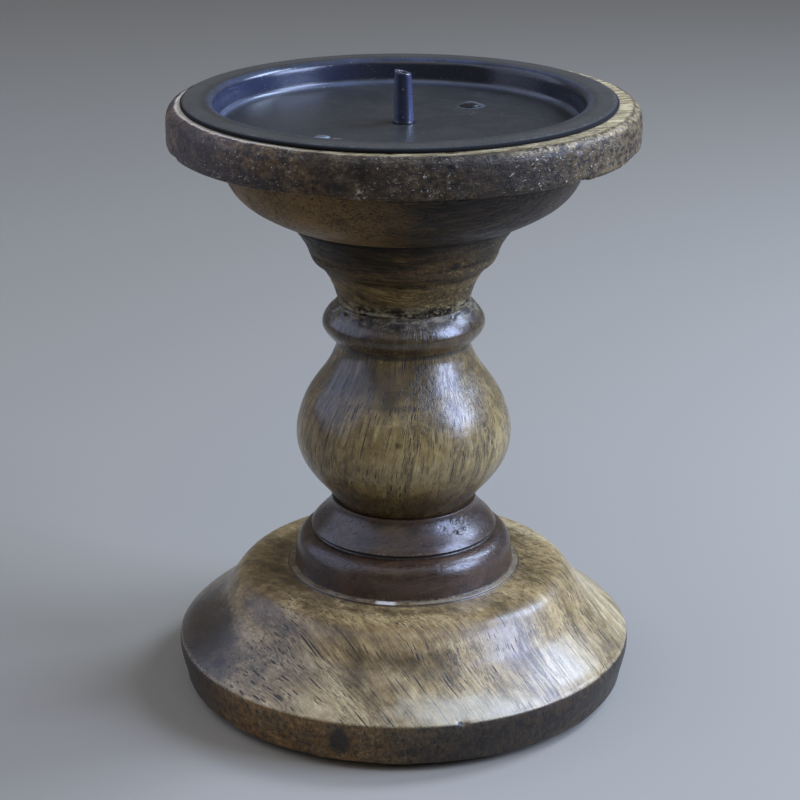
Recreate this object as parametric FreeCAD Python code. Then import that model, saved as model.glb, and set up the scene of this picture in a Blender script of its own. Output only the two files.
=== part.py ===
import FreeCAD, Part
import math
import os

# Pricket candle stand: a stack of five separately turned wooden pieces on
# one threaded rod, with a pressed steel drip pan and a hollow steel spike.
# Millimetres, +Z up.  The origin is the centre of the underside, where the
# felt disc meets the surface that the stand rests on.

V = FreeCAD.Vector
os.makedirs("parts", exist_ok=True)

# ---------------------------------------------------------------- dimensions
FELT_R = 50.0            # felt disc under the base
FELT_T = 1.8

# seams between the turned pieces, heights above the surface
Z_BASE = FELT_T          # underside of the base
Z_BASE_FOOT = 32.62      # base / foot moulding
Z_FOOT_STEM = 50.58      # foot moulding / baluster
Z_STEM_NECK = 103.50     # baluster / neck
Z_NECK_CUP = 125.06      # neck / cup
Z_RIM_TOP = 154.19       # top face of the cup's rim

# turned tenons (on the upper or lower piece) and their sockets
TENON_GAP = 0.15         # radial clearance of tenon in socket
SOCKET_EXTRA = 0.30      # socket deeper than the tenon is long
FOOT_TENON_R, FOOT_TENON_L = 15.0, 5.0     # under the foot, into the base
STEM_LOW_R, STEM_LOW_L = 9.0, 8.0          # under the baluster, into the foot
STEM_TOP_R, STEM_TOP_L = 8.0, 7.0          # on the baluster, into the neck
NECK_TENON_R, NECK_TENON_L = 15.0, 5.0     # on the neck, into the cup

# the tie rod with a nut and a washer at each end (M6)
ROD_R = 3.0
ROD_BORE_R = 3.3
WASHER_R, WASHER_BORE_R, WASHER_T = 9.0, 3.2, 1.6
NUT_AF, NUT_H, NUT_BORE_R = 10.0, 5.0, 3.05
CBORE_R = 10.5
CBORE_LOW_DEPTH = 9.4    # in the base's underside
CBORE_TOP_DEPTH = 8.4    # in the cup, under the pan
ROD_Z0, ROD_Z1 = 3.2, 146.9

# the drip pan, pressed from sheet; it sits a little off the turned axis
PAN_X = -1.1
PAN_T = 0.7
PAN_FLANGE_R = 53.8
PAN_FLANGE_TOP = 155.35
PAN_FLOOR_TOP = 148.90
PAN_WALL_R0 = 44.6       # inside of the wall at the floor
PAN_WALL_R1 = 45.7       # inside of the wall at the flange
PAN_FILLET_LOW = 1.6
PAN_FILLET_TOP = 1.9
PAN_LIP_DROP = 0.35      # the flange's edge turned down
RECESS_R = 48.6          # recess in the cup that the pan drops into
PAN_FLOOR_BOTTOM = PAN_FLOOR_TOP - PAN_T

# the hollow spike, rolled from sheet to a taper
SPIKE_R0, SPIKE_R1 = 2.50, 2.03
SPIKE_BORE_R0, SPIKE_BORE_R1 = 1.45, 0.98
SPIKE_H = 12.6
SPIKE_TENON_R = 1.90     # passes through the pan's centre hole
SPIKE_HEAD_R, SPIKE_HEAD_T = 2.9, 0.45     # peened over under the pan
SPIKE_TOP_TILT = 13.0    # degrees: the tip is cut off askew
SPIKE_LEAN = 1.2         # degrees, towards -X

# what holds the pan down, on opposite sides of the spike: a round-headed
# tack and a small flat-headed pin
# (x, y), head radius, head edge height, dome height, shank radius, length
TACK = ((16.8, 18.4), 2.45, 0.35, 0.65, 0.80, 11.0)
PIN = ((-19.6, -16.0), 1.50, 0.25, 0.20, 0.55, 9.0)
NAIL_GAP = 0.04

# ------------------------------------------------- turned outlines (r, z)
BASE_BAND = [(55.55, 1.80), (56.75, 2.20), (57.28, 3.10), (57.57, 4.70),
             (58.19, 7.11), (58.78, 9.53), (59.04, 11.46), (59.07, 12.72)]
BASE_EDGE = [(59.07, 12.72), (58.93, 13.46), (58.25, 14.08)]
BASE_SLOPE = [(58.25, 14.08), (56.98, 15.32), (54.58, 17.22), (52.05, 19.15),
              (49.65, 21.15), (47.68, 23.05), (46.27, 24.98), (45.11, 26.80),
              (44.05, 28.30), (42.99, 29.55), (41.73, 30.60), (39.99, 31.42),
              (37.87, 31.87), (34.87, 31.99)]
RING = [(30.04, 31.99), (29.96, 32.40), (29.60, 32.62)]

FOOT_TORUS = [(28.50, 32.62), (28.34, 33.68), (28.20, 35.22), (28.03, 36.96),
              (27.66, 38.55), (26.92, 40.00), (25.75, 41.10), (24.25, 41.74)]
FOOT_GROOVE = [(24.25, 41.74), (23.40, 42.12), (23.36, 42.55), (24.10, 43.05)]
FOOT_CONE = [(24.10, 43.05), (23.45, 43.95), (22.40, 45.12), (21.28, 46.22),
             (20.26, 47.32), (19.42, 48.46), (18.85, 49.58), (18.62, 50.58)]

BULB = [(17.50, 50.58), (18.36, 51.72), (19.44, 53.09), (20.86, 54.93),
        (22.60, 56.86), (24.15, 58.79), (25.45, 60.73), (26.42, 62.66),
        (27.08, 64.59), (27.48, 66.52), (27.62, 68.45), (27.50, 70.39),
        (27.16, 72.32), (26.65, 74.25), (25.99, 76.18), (25.16, 78.11),
        (24.10, 80.05), (22.80, 81.98), (21.35, 83.91), (19.98, 85.84),
        (18.82, 87.77), (17.90, 89.71), (17.24, 91.40), (16.90, 93.20)]
BEAD = [(16.90, 93.20), (17.86, 93.84), (18.84, 94.72), (19.70, 95.72),
        (20.34, 96.76), (20.64, 97.86), (20.44, 99.02), (19.82, 100.22),
        (18.95, 101.36), (17.95, 102.46), (16.80, 103.50)]

NECK = [(16.75, 103.50), (16.95, 104.78), (17.30, 106.20), (17.84, 107.82),
        (18.55, 109.45), (19.40, 110.98), (20.36, 112.38), (21.25, 113.47)]
COLLAR = [(21.25, 113.47), (22.50, 114.38), (23.46, 115.58), (23.96, 117.10),
          (24.58, 118.66), (25.48, 120.28), (26.54, 121.86), (27.62, 123.44),
          (28.30, 125.06)]

BOWL = [(28.60, 125.06), (30.55, 125.62), (32.54, 126.50), (34.49, 127.48),
        (36.42, 128.50), (38.22, 129.58), (39.84, 130.72), (41.24, 131.96),
        (42.42, 133.30), (43.42, 134.85), (44.34, 136.75), (45.14, 139.00),
        (45.70, 141.50), (45.95, 144.15)]
RIM_LOW = [(57.20, 144.15), (58.02, 144.42), (58.38, 145.15), (58.46, 147.10)]
RIM_SIDE = [(58.46, 147.10), (58.46, 149.20), (58.38, 151.10)]
RIM_TOP = [(58.38, 151.10), (58.17, 152.15), (57.68, 153.10), (56.90, 153.82),
           (55.90, Z_RIM_TOP)]


# ------------------------------------------------------------------- helpers
def line(a, b):
    return Part.LineSegment(V(a[0], 0, a[1]), V(b[0], 0, b[1])).toShape()


def smooth(points):
    curve = Part.BSplineCurve()
    curve.interpolate([V(r, 0, z) for r, z in points])
    return curve.toShape()


def turned(segments):
    """Revolve a closed outline.  A segment is a list of (r, z) points: two
    points are a straight line, more are one smooth curve."""
    edges = []
    last = None
    first = segments[0][0]
    for seg in segments:
        if last is not None and (abs(last[0] - seg[0][0]) > 1e-6
                                 or abs(last[1] - seg[0][1]) > 1e-6):
            edges.append(line(last, seg[0]))
        edges.append(line(*seg) if len(seg) == 2 else smooth(seg))
        last = seg[-1]
    if abs(last[0] - first[0]) > 1e-6 or abs(last[1] - first[1]) > 1e-6:
        edges.append(line(last, first))
    face = Part.Face(Part.Wire(Part.__sortEdges__(edges)))
    return face.revolve(V(0, 0, 0), V(0, 0, 1), 360)


def ring(r_out, r_in, z0, z1, x=0.0, y=0.0):
    body = Part.makeCylinder(r_out, z1 - z0, V(x, y, z0))
    if r_in > 0:
        body = body.cut(Part.makeCylinder(r_in, z1 - z0, V(x, y, z0)))
    return body


def save(name, shape):
    solids = shape.Solids
    shape = solids[0] if len(solids) == 1 else Part.makeCompound(solids)
    assert all(s.isValid() and s.Volume > 0 for s in solids), name
    shape.exportStep("parts/%s.step" % name)
    box = shape.BoundBox
    print("%-16s solids %d  volume %9.1f  z %.2f..%.2f" % (
        name, len(solids), shape.Volume, box.ZMin, box.ZMax))


# ------------------------------------------------------------------- wood
def base_plinth():
    ceiling = Z_BASE + CBORE_LOW_DEPTH
    socket = Z_BASE_FOOT - FOOT_TENON_L - SOCKET_EXTRA
    rs = FOOT_TENON_R + TENON_GAP
    return turned([
        [(CBORE_R, Z_BASE), (BASE_BAND[0][0], Z_BASE)],
        BASE_BAND, BASE_EDGE, BASE_SLOPE,
        [BASE_SLOPE[-1], RING[0]],
        RING,
        [RING[-1], (rs, Z_BASE_FOOT)],
        [(rs, Z_BASE_FOOT), (rs, socket)],
        [(rs, socket), (ROD_BORE_R, socket)],
        [(ROD_BORE_R, socket), (ROD_BORE_R, ceiling)],
        [(ROD_BORE_R, ceiling), (CBORE_R, ceiling)],
        [(CBORE_R, ceiling), (CBORE_R, Z_BASE)]])


def foot_moulding():
    low = Z_BASE_FOOT - FOOT_TENON_L
    socket = Z_FOOT_STEM - STEM_LOW_L - SOCKET_EXTRA
    rs = STEM_LOW_R + TENON_GAP
    return turned([
        [(ROD_BORE_R, low), (FOOT_TENON_R, low)],
        [(FOOT_TENON_R, low), (FOOT_TENON_R, Z_BASE_FOOT)],
        [(FOOT_TENON_R, Z_BASE_FOOT), FOOT_TORUS[0]],
        FOOT_TORUS, FOOT_GROOVE, FOOT_CONE,
        [FOOT_CONE[-1], (rs, Z_FOOT_STEM)],
        [(rs, Z_FOOT_STEM), (rs, socket)],
        [(rs, socket), (ROD_BORE_R, socket)],
        [(ROD_BORE_R, socket), (ROD_BORE_R, low)]])


def stem_baluster():
    low = Z_FOOT_STEM - STEM_LOW_L
    top = Z_STEM_NECK + STEM_TOP_L
    return turned([
        [(ROD_BORE_R, low), (STEM_LOW_R, low)],
        [(STEM_LOW_R, low), (STEM_LOW_R, Z_FOOT_STEM)],
        [(STEM_LOW_R, Z_FOOT_STEM), BULB[0]],
        BULB, BEAD,
        [BEAD[-1], (STEM_TOP_R, Z_STEM_NECK)],
        [(STEM_TOP_R, Z_STEM_NECK), (STEM_TOP_R, top)],
        [(STEM_TOP_R, top), (ROD_BORE_R, top)],
        [(ROD_BORE_R, top), (ROD_BORE_R, low)]])


def neck_collar():
    socket = Z_STEM_NECK + STEM_TOP_L + SOCKET_EXTRA
    top = Z_NECK_CUP + NECK_TENON_L
    rs = STEM_TOP_R + TENON_GAP
    return turned([
        [(rs, Z_STEM_NECK), NECK[0]],
        NECK, COLLAR,
        [COLLAR[-1], (NECK_TENON_R, Z_NECK_CUP)],
        [(NECK_TENON_R, Z_NECK_CUP), (NECK_TENON_R, top)],
        [(NECK_TENON_R, top), (ROD_BORE_R, top)],
        [(ROD_BORE_R, top), (ROD_BORE_R, socket)],
        [(ROD_BORE_R, socket), (rs, socket)],
        [(rs, socket), (rs, Z_STEM_NECK)]])


def top_cup():
    socket = Z_NECK_CUP + NECK_TENON_L + SOCKET_EXTRA
    rs = NECK_TENON_R + TENON_GAP
    floor = PAN_FLOOR_BOTTOM
    pocket = floor - CBORE_TOP_DEPTH
    cup = turned([
        [(rs, Z_NECK_CUP), BOWL[0]],
        BOWL,
        [BOWL[-1], RIM_LOW[0]],
        RIM_LOW, RIM_SIDE, RIM_TOP,
        [RIM_TOP[-1], (RECESS_R, Z_RIM_TOP)],
        [(RECESS_R, Z_RIM_TOP), (RECESS_R, floor)],
        [(RECESS_R, floor), (CBORE_R, floor)],
        [(CBORE_R, floor), (CBORE_R, pocket)],
        [(CBORE_R, pocket), (ROD_BORE_R, pocket)],
        [(ROD_BORE_R, pocket), (ROD_BORE_R, socket)],
        [(ROD_BORE_R, socket), (rs, socket)],
        [(rs, socket), (rs, Z_NECK_CUP)]])
    for (x, y), head, edge, rise, shank, length in (TACK, PIN):
        depth = length - PAN_T + 0.3
        cup = cup.cut(Part.makeCylinder(shank + NAIL_GAP, depth,
                                        V(x, y, floor - depth)))
    return cup


# ------------------------------------------------------------------- metal
def drip_pan():
    """Floor, leaning wall and flat flange with a slightly turned-down edge,
    one sheet thickness throughout; the corners are tangent arcs."""
    lean = math.atan2(PAN_WALL_R1 - PAN_WALL_R0,
                      PAN_FLANGE_TOP - PAN_FLOOR_TOP)

    def path(floor_z, wall_r0, wall_r1, flange_z, r_low, r_top):
        # inner (upper) or outer (lower) skin as edges from the axis outwards
        half = (math.pi / 2 - lean) / 2
        cut_low = r_low * math.tan(half)
        cut_top = r_top * math.tan(half)
        up = V(math.sin(lean), 0, math.cos(lean))
        a = V(wall_r0, 0, floor_z)
        b = V(wall_r1, 0, flange_z)
        return a, b, up, cut_low, cut_top

    def skin(a, b, up, cl, ct, r_low, r_top, start, end):
        p0 = start
        p1 = V(a.x - cl, 0, a.z)
        p2 = a + up * cl
        p3 = b - up * ct
        p4 = V(b.x + ct, 0, b.z)
        c_low = V(p1.x, 0, p1.z + r_low)
        c_top = V(p4.x, 0, p4.z - r_top)
        m_low = c_low + (V(a.x, 0, a.z) - c_low).normalize() * r_low
        m_top = c_top + (V(b.x, 0, b.z) - c_top).normalize() * r_top
        return [Part.LineSegment(p0, p1).toShape(),
                Part.Arc(p1, m_low, p2).toShape(),
                Part.LineSegment(p2, p3).toShape(),
                Part.Arc(p3, m_top, p4).toShape(),
                Part.LineSegment(p4, end).toShape()]

    shift = PAN_T / math.cos(lean)          # sheet thickness across the wall
    grow = PAN_T * math.tan(lean)
    a, b, up, cl, ct = path(PAN_FLOOR_TOP, PAN_WALL_R0, PAN_WALL_R1,
                            PAN_FLANGE_TOP, PAN_FILLET_LOW, PAN_FILLET_TOP)
    lip = PAN_FLANGE_R - 1.6
    top = skin(a, b, up, cl, ct, PAN_FILLET_LOW, PAN_FILLET_TOP,
               V(0, 0, PAN_FLOOR_TOP), V(lip, 0, PAN_FLANGE_TOP))
    a2, b2, up, cl2, ct2 = path(PAN_FLOOR_BOTTOM,
                                PAN_WALL_R0 + shift - grow,
                                PAN_WALL_R1 + shift - grow,
                                PAN_FLANGE_TOP - PAN_T,
                                PAN_FILLET_LOW + PAN_T,
                                PAN_FILLET_TOP - PAN_T)
    low = skin(a2, b2, up, cl2, ct2, PAN_FILLET_LOW + PAN_T,
               PAN_FILLET_TOP - PAN_T,
               V(0, 0, PAN_FLOOR_BOTTOM), V(lip, 0, PAN_FLANGE_TOP - PAN_T))
    edge_top = V(PAN_FLANGE_R - 0.15, 0, PAN_FLANGE_TOP - PAN_LIP_DROP)
    edge_low = V(PAN_FLANGE_R - 0.15, 0, PAN_FLANGE_TOP - PAN_LIP_DROP - PAN_T)
    edge_mid = V(PAN_FLANGE_R, 0, PAN_FLANGE_TOP - PAN_LIP_DROP - PAN_T / 2)
    lip_top = V(lip, 0, PAN_FLANGE_TOP)
    lip_low = V(lip, 0, PAN_FLANGE_TOP - PAN_T)
    bend_top = V((lip + PAN_FLANGE_R - 0.15) / 2, 0,
                 PAN_FLANGE_TOP - PAN_LIP_DROP * 0.25)
    bend_low = bend_top - V(0, 0, PAN_T)
    edges = top + low + [
        Part.Arc(lip_top, bend_top, edge_top).toShape(),
        Part.Arc(edge_top, edge_mid, edge_low).toShape(),
        Part.Arc(edge_low, bend_low, lip_low).toShape(),
        Part.LineSegment(V(0, 0, PAN_FLOOR_TOP),
                         V(0, 0, PAN_FLOOR_BOTTOM)).toShape()]
    face = Part.Face(Part.Wire(Part.__sortEdges__(edges)))
    pan = face.revolve(V(0, 0, 0), V(0, 0, 1), 360)
    pan.translate(V(PAN_X, 0, 0))
    holes = [(0.0, 0.0, SPIKE_TENON_R + NAIL_GAP)]
    holes += [(n[0][0], n[0][1], n[4] + NAIL_GAP) for n in (TACK, PIN)]
    for x, y, r in holes:
        pan = pan.cut(Part.makeCylinder(r, 3.0, V(x, y, PAN_FLOOR_BOTTOM - 1)))
    return pan


def pricket_spike():
    z0 = PAN_FLOOR_TOP
    zb = PAN_FLOOR_BOTTOM - SPIKE_HEAD_T
    tall = SPIKE_H + 1.5
    cone = Part.makeCone(SPIKE_R0, SPIKE_R1 - (SPIKE_R0 - SPIKE_R1) * 1.5
                         / SPIKE_H, tall, V(0, 0, z0))
    bore = Part.makeCone(SPIKE_BORE_R0, SPIKE_BORE_R1, tall + 2, V(0, 0, z0))
    lean = (V(0, 0, z0), V(0, 1, 0), -SPIKE_LEAN)
    cone.rotate(*lean)
    bore.rotate(*lean)
    # level foot: a thin ring of the base radius that the leaning tube meets
    foot = Part.makeCone(SPIKE_R0 + 0.12, SPIKE_R0 + 0.02, 0.5, V(0, 0, z0))
    body = cone.common(Part.makeBox(20, 20, 30, V(-10, -10, z0)))
    body = body.fuse(foot)
    tenon = Part.makeCylinder(SPIKE_TENON_R, z0 - zb, V(0, 0, zb))
    head = Part.makeCylinder(SPIKE_HEAD_R, SPIKE_HEAD_T, V(0, 0, zb))
    body = body.fuse(tenon).fuse(head)
    body = body.cut(bore)
    body = body.cut(Part.makeCylinder(SPIKE_BORE_R0, z0 - zb + 0.3,
                                      V(0, 0, zb - 0.1)))
    # the askew tip: everything above a tilted plane is cut away
    cutter = Part.makeBox(30, 30, 20, V(-15, -15, 0))
    cutter.rotate(V(0, 0, 0), V(0, 1, 0), SPIKE_TOP_TILT)
    cutter.translate(V(-SPIKE_H * math.sin(math.radians(SPIKE_LEAN)), 0,
                       z0 + SPIKE_H))
    return body.cut(cutter).removeSplitter()


def nail(spec):
    """Head with a low dome, straight shank and a drawn point."""
    (x, y), head, edge, rise, shank, length = spec
    point = 1.7 * shank
    z = PAN_FLOOR_TOP
    body = Part.makeCylinder(shank, length - point,
                             V(x, y, z - length + point))
    tip = Part.makeCone(0.12, shank, point, V(x, y, z - length))
    disc = Part.makeCylinder(head, edge, V(x, y, z))
    r = (head ** 2 + rise ** 2) / (2 * rise)
    ball = Part.makeSphere(r, V(x, y, z + edge + rise - r))
    dome = ball.common(Part.makeCylinder(head, rise, V(x, y, z + edge)))
    return disc.fuse(dome).fuse(body).fuse(tip).removeSplitter()


def tie_rod():
    body = ring(ROD_R, 0, ROD_Z0, ROD_Z1)
    chamfer = [e for e in body.Edges if e.Curve.TypeId == "Part::GeomCircle"]
    return body.makeChamfer(0.5, chamfer)


def rod_washers():
    low = Z_BASE + CBORE_LOW_DEPTH
    top = PAN_FLOOR_BOTTOM - CBORE_TOP_DEPTH
    return Part.makeCompound([
        ring(WASHER_R, WASHER_BORE_R, low - WASHER_T, low),
        ring(WASHER_R, WASHER_BORE_R, top, top + WASHER_T)])


def hex_nut(z):
    corner = NUT_AF / 2 / math.cos(math.pi / 6)
    points = [V(corner * math.cos(math.radians(60 * i)),
                corner * math.sin(math.radians(60 * i)), z)
              for i in range(7)]
    body = Part.Face(Part.makePolygon(points)).extrude(V(0, 0, NUT_H))
    # the corners are turned off to 30 degrees at both faces
    drop = (corner - NUT_AF / 2 + 0.1) * math.tan(math.radians(30))
    outline = [V(0, 0, z), V(NUT_AF / 2 - 0.1, 0, z), V(corner, 0, z + drop),
               V(corner, 0, z + NUT_H - drop),
               V(NUT_AF / 2 - 0.1, 0, z + NUT_H), V(0, 0, z + NUT_H),
               V(0, 0, z)]
    turnedpart = Part.Face(Part.makePolygon(outline)).revolve(
        V(0, 0, 0), V(0, 0, 1), 360)
    body = body.common(turnedpart)
    return body.cut(Part.makeCylinder(NUT_BORE_R, NUT_H, V(0, 0, z)))


def rod_nuts():
    low = Z_BASE + CBORE_LOW_DEPTH - WASHER_T - NUT_H
    top = PAN_FLOOR_BOTTOM - CBORE_TOP_DEPTH + WASHER_T
    return Part.makeCompound([hex_nut(low), hex_nut(top)])


# -------------------------------------------------------------------- felt
def felt_pad():
    return Part.makeCylinder(FELT_R, FELT_T)


save("base_plinth", base_plinth())
save("foot_moulding", foot_moulding())
save("stem_baluster", stem_baluster())
save("neck_collar", neck_collar())
save("top_cup", top_cup())
save("drip_pan", drip_pan())
save("pricket_spike", pricket_spike())
save("pan_tack", nail(TACK))
save("pan_pin", nail(PIN))
save("tie_rod", tie_rod())
save("rod_washers", rod_washers())
save("rod_nuts", rod_nuts())
save("felt_pad", felt_pad())
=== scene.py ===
import math

import bpy
import numpy as np
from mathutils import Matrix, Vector


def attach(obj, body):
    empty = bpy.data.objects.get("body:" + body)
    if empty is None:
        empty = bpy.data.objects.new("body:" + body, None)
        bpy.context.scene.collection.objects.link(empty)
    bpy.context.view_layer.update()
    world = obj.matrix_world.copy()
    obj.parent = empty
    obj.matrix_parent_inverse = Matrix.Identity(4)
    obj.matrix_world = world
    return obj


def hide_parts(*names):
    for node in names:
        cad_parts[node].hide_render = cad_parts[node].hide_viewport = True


# Pricket candle stand.  Outlines are in millimetres, (r, z) about the turned
# axis; meshes are made in metres in the row frame.  +X is right, -Y is front.

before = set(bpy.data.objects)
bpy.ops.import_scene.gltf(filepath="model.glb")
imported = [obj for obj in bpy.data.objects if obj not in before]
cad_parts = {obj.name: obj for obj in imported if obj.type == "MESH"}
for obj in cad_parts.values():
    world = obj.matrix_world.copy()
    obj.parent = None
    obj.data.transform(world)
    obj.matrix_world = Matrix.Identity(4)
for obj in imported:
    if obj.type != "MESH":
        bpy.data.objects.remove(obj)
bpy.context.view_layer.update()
MM = 0.001


# ------------------------------------------------------------------ camera
PITCH = 0.3465625          # looking down, radians
REACH = 0.5987326          # camera to the point of the axis it looks at
AIM_Z = 0.0763053
cam = bpy.data.cameras.new("camera")
cam.sensor_fit = "HORIZONTAL"
cam.sensor_width = 36.0
cam.lens = 105.11
cam.clip_start = 0.01
cam_ob = bpy.data.objects.new("camera", cam)
bpy.context.scene.collection.objects.link(cam_ob)
cam_ob.location = (-0.000974, -REACH * math.cos(PITCH),
                   AIM_Z + REACH * math.sin(PITCH))
cam_ob.rotation_euler = (math.pi / 2 - PITCH, 0.0, 0.0)
bpy.context.scene.camera = cam_ob


# ------------------------------------------------------- numbers for shapes
def lattice(ix, iy, iz, seed):
    h = (ix * 73856093) ^ (iy * 19349663) ^ (iz * 83492791) ^ (seed * 40503)
    h = h & 0xFFFFFFFF
    h = ((h ^ (h >> 15)) * 0x2C1B3C6D) & 0xFFFFFFFF
    h = ((h ^ (h >> 12)) * 0x297A2D39) & 0xFFFFFFFF
    h = h ^ (h >> 15)
    return h / 4294967295.0


def noise(p, scale, seed=0):
    """Smooth value noise from -1 to 1 at points p (..., 3); scale per mm, one
    number or one for each axis."""
    q = p * np.asarray(scale, float)
    i = np.floor(q).astype(np.int64)
    f = q - i
    f = f * f * f * (f * (f * 6 - 15) + 10)
    out = np.zeros(q.shape[:-1])
    for dx in (0, 1):
        wx = f[..., 0] if dx else 1 - f[..., 0]
        for dy in (0, 1):
            wy = f[..., 1] if dy else 1 - f[..., 1]
            for dz in (0, 1):
                wz = f[..., 2] if dz else 1 - f[..., 2]
                out += wx * wy * wz * lattice(i[..., 0] + dx, i[..., 1] + dy,
                                              i[..., 2] + dz, seed)
    return out * 2 - 1


def layered(p, scale, seed=0, layers=3, keep=0.5):
    total, amount, norm = 0.0, 1.0, 0.0
    scale = np.asarray(scale, float)
    for k in range(layers):
        total = total + noise(p, scale * 2.03 ** k, seed + 17 * k) * amount
        norm += amount
        amount *= keep
    return total / norm


def ease(x, a, b):
    t = np.clip((x - a) / (b - a), 0, 1)
    return t * t * (3 - 2 * t)


def spline(points, step):
    """Natural cubic through the points, sampled about every step mm."""
    p = np.array(points, float)
    d = np.hypot(*(p[1:] - p[:-1]).T)
    t = np.concatenate([[0], np.cumsum(d)])
    count = max(1, int(math.ceil(t[-1] / step)))
    at = np.linspace(0, t[-1], count + 1)
    n = len(p)
    if n < 3:
        return p[0] + (p[-1] - p[0]) * (at / t[-1])[:, None]
    a = np.zeros((n, n))
    b = np.zeros((n, 2))
    a[0, 0] = a[-1, -1] = 1
    for i in range(1, n - 1):
        a[i, i - 1], a[i, i], a[i, i + 1] = d[i - 1], 2 * (d[i - 1] + d[i]), d[i]
        b[i] = 3 * ((p[i + 1] - p[i]) / d[i] - (p[i] - p[i - 1]) / d[i - 1])
    c = np.linalg.solve(a, b)
    k = np.clip(np.searchsorted(t, at, side="right") - 1, 0, n - 2)
    u = (at - t[k])[:, None]
    h = d[k][:, None]
    slope = (p[k + 1] - p[k]) / h - h * (2 * c[k] + c[k + 1]) / 3
    return p[k] + slope * u + c[k] * u ** 2 + (c[k + 1] - c[k]) / (3 * h) * u ** 3


def outline(sections):
    """A closed outline from sections (points, step, skin, corner): skin is 1
    where it shows, corner the radius that its end is rounded to.  Returns the
    (n, 2) points and their skin."""
    pts, skin, corners = [], [], []
    for points, step, show, corner in sections:
        s = spline(points, step)
        start = 1 if pts and np.hypot(*(s[0] - pts[-1])) < 1e-6 else 0
        for q in s[start:]:
            pts.append(q)
            skin.append(show)
        if corner:
            corners.append((len(pts) - 1, corner))
    if np.hypot(*(pts[0] - pts[-1])) < 1e-6:
        pts.pop()
        skin.pop()
        corners = [(i % len(pts), c) for i, c in corners]
    for index, radius in sorted(corners, reverse=True):
        n = len(pts)
        c = pts[index]
        a = pts[index - 1] - c
        b = pts[(index + 1) % n] - c
        la, lb = np.hypot(*a), np.hypot(*b)
        turn = math.pi - math.acos(np.clip(a @ b / (la * lb), -1, 1))
        cut = radius * math.tan(turn / 2)

        def back(step, cut):
            i, left = index, cut
            dropped = 0
            while True:
                j = (i + step) % n
                seg = pts[j] - pts[i]
                length = np.hypot(*seg)
                if length >= left:
                    return pts[i] + seg * (left / length), dropped
                left -= length
                i = j
                dropped += 1

        p0, drop0 = back(-1, cut)
        p1, drop1 = back(1, cut)
        k = max(3, int(radius * turn / 0.12))
        arc = [(1 - t) ** 2 * p0 + 2 * t * (1 - t) * c + t ** 2 * p1
               for t in np.linspace(0, 1, k + 1)]
        show = skin[index]
        order = [(index - drop0 + m) % n for m in range(drop0 + drop1 + 1)]
        first = order[0]
        kept_pts = [pts[m % n] for m in range(order[-1] + 1, first + n)]
        kept_skin = [skin[m % n] for m in range(order[-1] + 1, first + n)]
        if first > order[-1]:                   # the cut wraps round the list
            kept_pts = pts[order[-1] + 1:first]
            kept_skin = skin[order[-1] + 1:first]
            pts = kept_pts + arc
            skin = kept_skin + [show] * len(arc)
        else:
            pts = pts[:first] + arc + pts[order[-1] + 1:]
            skin = skin[:first] + [show] * len(arc) + skin[order[-1] + 1:]
    return np.array(pts), np.array(skin, float)


def revolve(sections, seg, shape=None, centre=None):
    """Vertices (n, seg, 3) in mm of a closed outline turned about the axis.
    shape(P, N, r, z, phi, skin) gives how far each vertex moves along its
    normal."""
    line, skin = outline(sections)
    ahead = np.roll(line, -1, 0) - line
    behind = line - np.roll(line, 1, 0)
    ahead /= np.hypot(*ahead.T)[:, None]
    behind /= np.hypot(*behind.T)[:, None]
    tang = ahead + behind
    tang /= np.maximum(np.hypot(*tang.T), 1e-9)[:, None]
    area = 0.5 * np.sum(line[:, 0] * np.roll(line[:, 1], -1)
                        - np.roll(line[:, 0], -1) * line[:, 1])
    nr, nz = (tang[:, 1], -tang[:, 0]) if area > 0 else (-tang[:, 1], tang[:, 0])
    phi = np.linspace(0, 2 * math.pi, seg, endpoint=False)
    c, s = np.cos(phi)[None, :], np.sin(phi)[None, :]
    r, z = line[:, 0][:, None], line[:, 1][:, None]
    P = np.stack([r * c, r * s, z + 0 * c], -1)
    N = np.stack([nr[:, None] * c, nr[:, None] * s, nz[:, None] + 0 * c], -1)
    if shape is not None:
        move = shape(P, N, r + 0 * c, z + 0 * c, phi[None, :] + 0 * r,
                     skin[:, None] + 0 * c)
        P = P + N * (move * (skin[:, None] > 0))[..., None]
    if centre is not None:
        P = centre(P)
    return P, area > 0


def mesh_object(name, verts, faces):
    me = bpy.data.meshes.new(name)
    me.from_pydata([], [], [])
    verts = np.asarray(verts, np.float32)
    faces = np.asarray(faces, np.int32)
    me.vertices.add(len(verts))
    me.vertices.foreach_set("co", (verts * MM).ravel())
    me.loops.add(faces.size)
    me.loops.foreach_set("vertex_index", faces.ravel())
    me.polygons.add(len(faces))
    me.polygons.foreach_set("loop_start",
                            np.arange(0, faces.size, faces.shape[1],
                                      dtype=np.int32))
    me.polygons.foreach_set("use_smooth", np.ones(len(faces), bool))
    me.update(calc_edges=True)
    me.validate()
    ob = bpy.data.objects.new(name, me)
    bpy.context.scene.collection.objects.link(ob)
    return ob


def grid_faces(n, seg, outward, base=0, closed=True):
    rows = np.arange(n if closed else n - 1)[:, None]
    cols = np.arange(seg)[None, :]
    a = rows * seg + cols
    b = rows * seg + (cols + 1) % seg
    c = ((rows + 1) % n) * seg + (cols + 1) % seg
    d = ((rows + 1) % n) * seg + cols
    order = (a, b, c, d) if outward else (a, d, c, b)
    return np.stack(order, -1).reshape(-1, 4) + base


def turned_piece(name, sections, seg, shape=None, centre=None):
    P, ccw = revolve(sections, seg, shape, centre)
    faces = grid_faces(P.shape[0], seg, ccw)
    return mesh_object(name, P.reshape(-1, 3), faces)


def near(P, at, radii):
    """Distance from a place in units of radii."""
    d = (P - np.asarray(at, float)) / np.asarray(radii, float)
    return np.sqrt((d ** 2).sum(-1))


def dent(P, at, radii, depth):
    return -depth * (1 - ease(near(P, at, radii), 0.35, 1.0))


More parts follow.
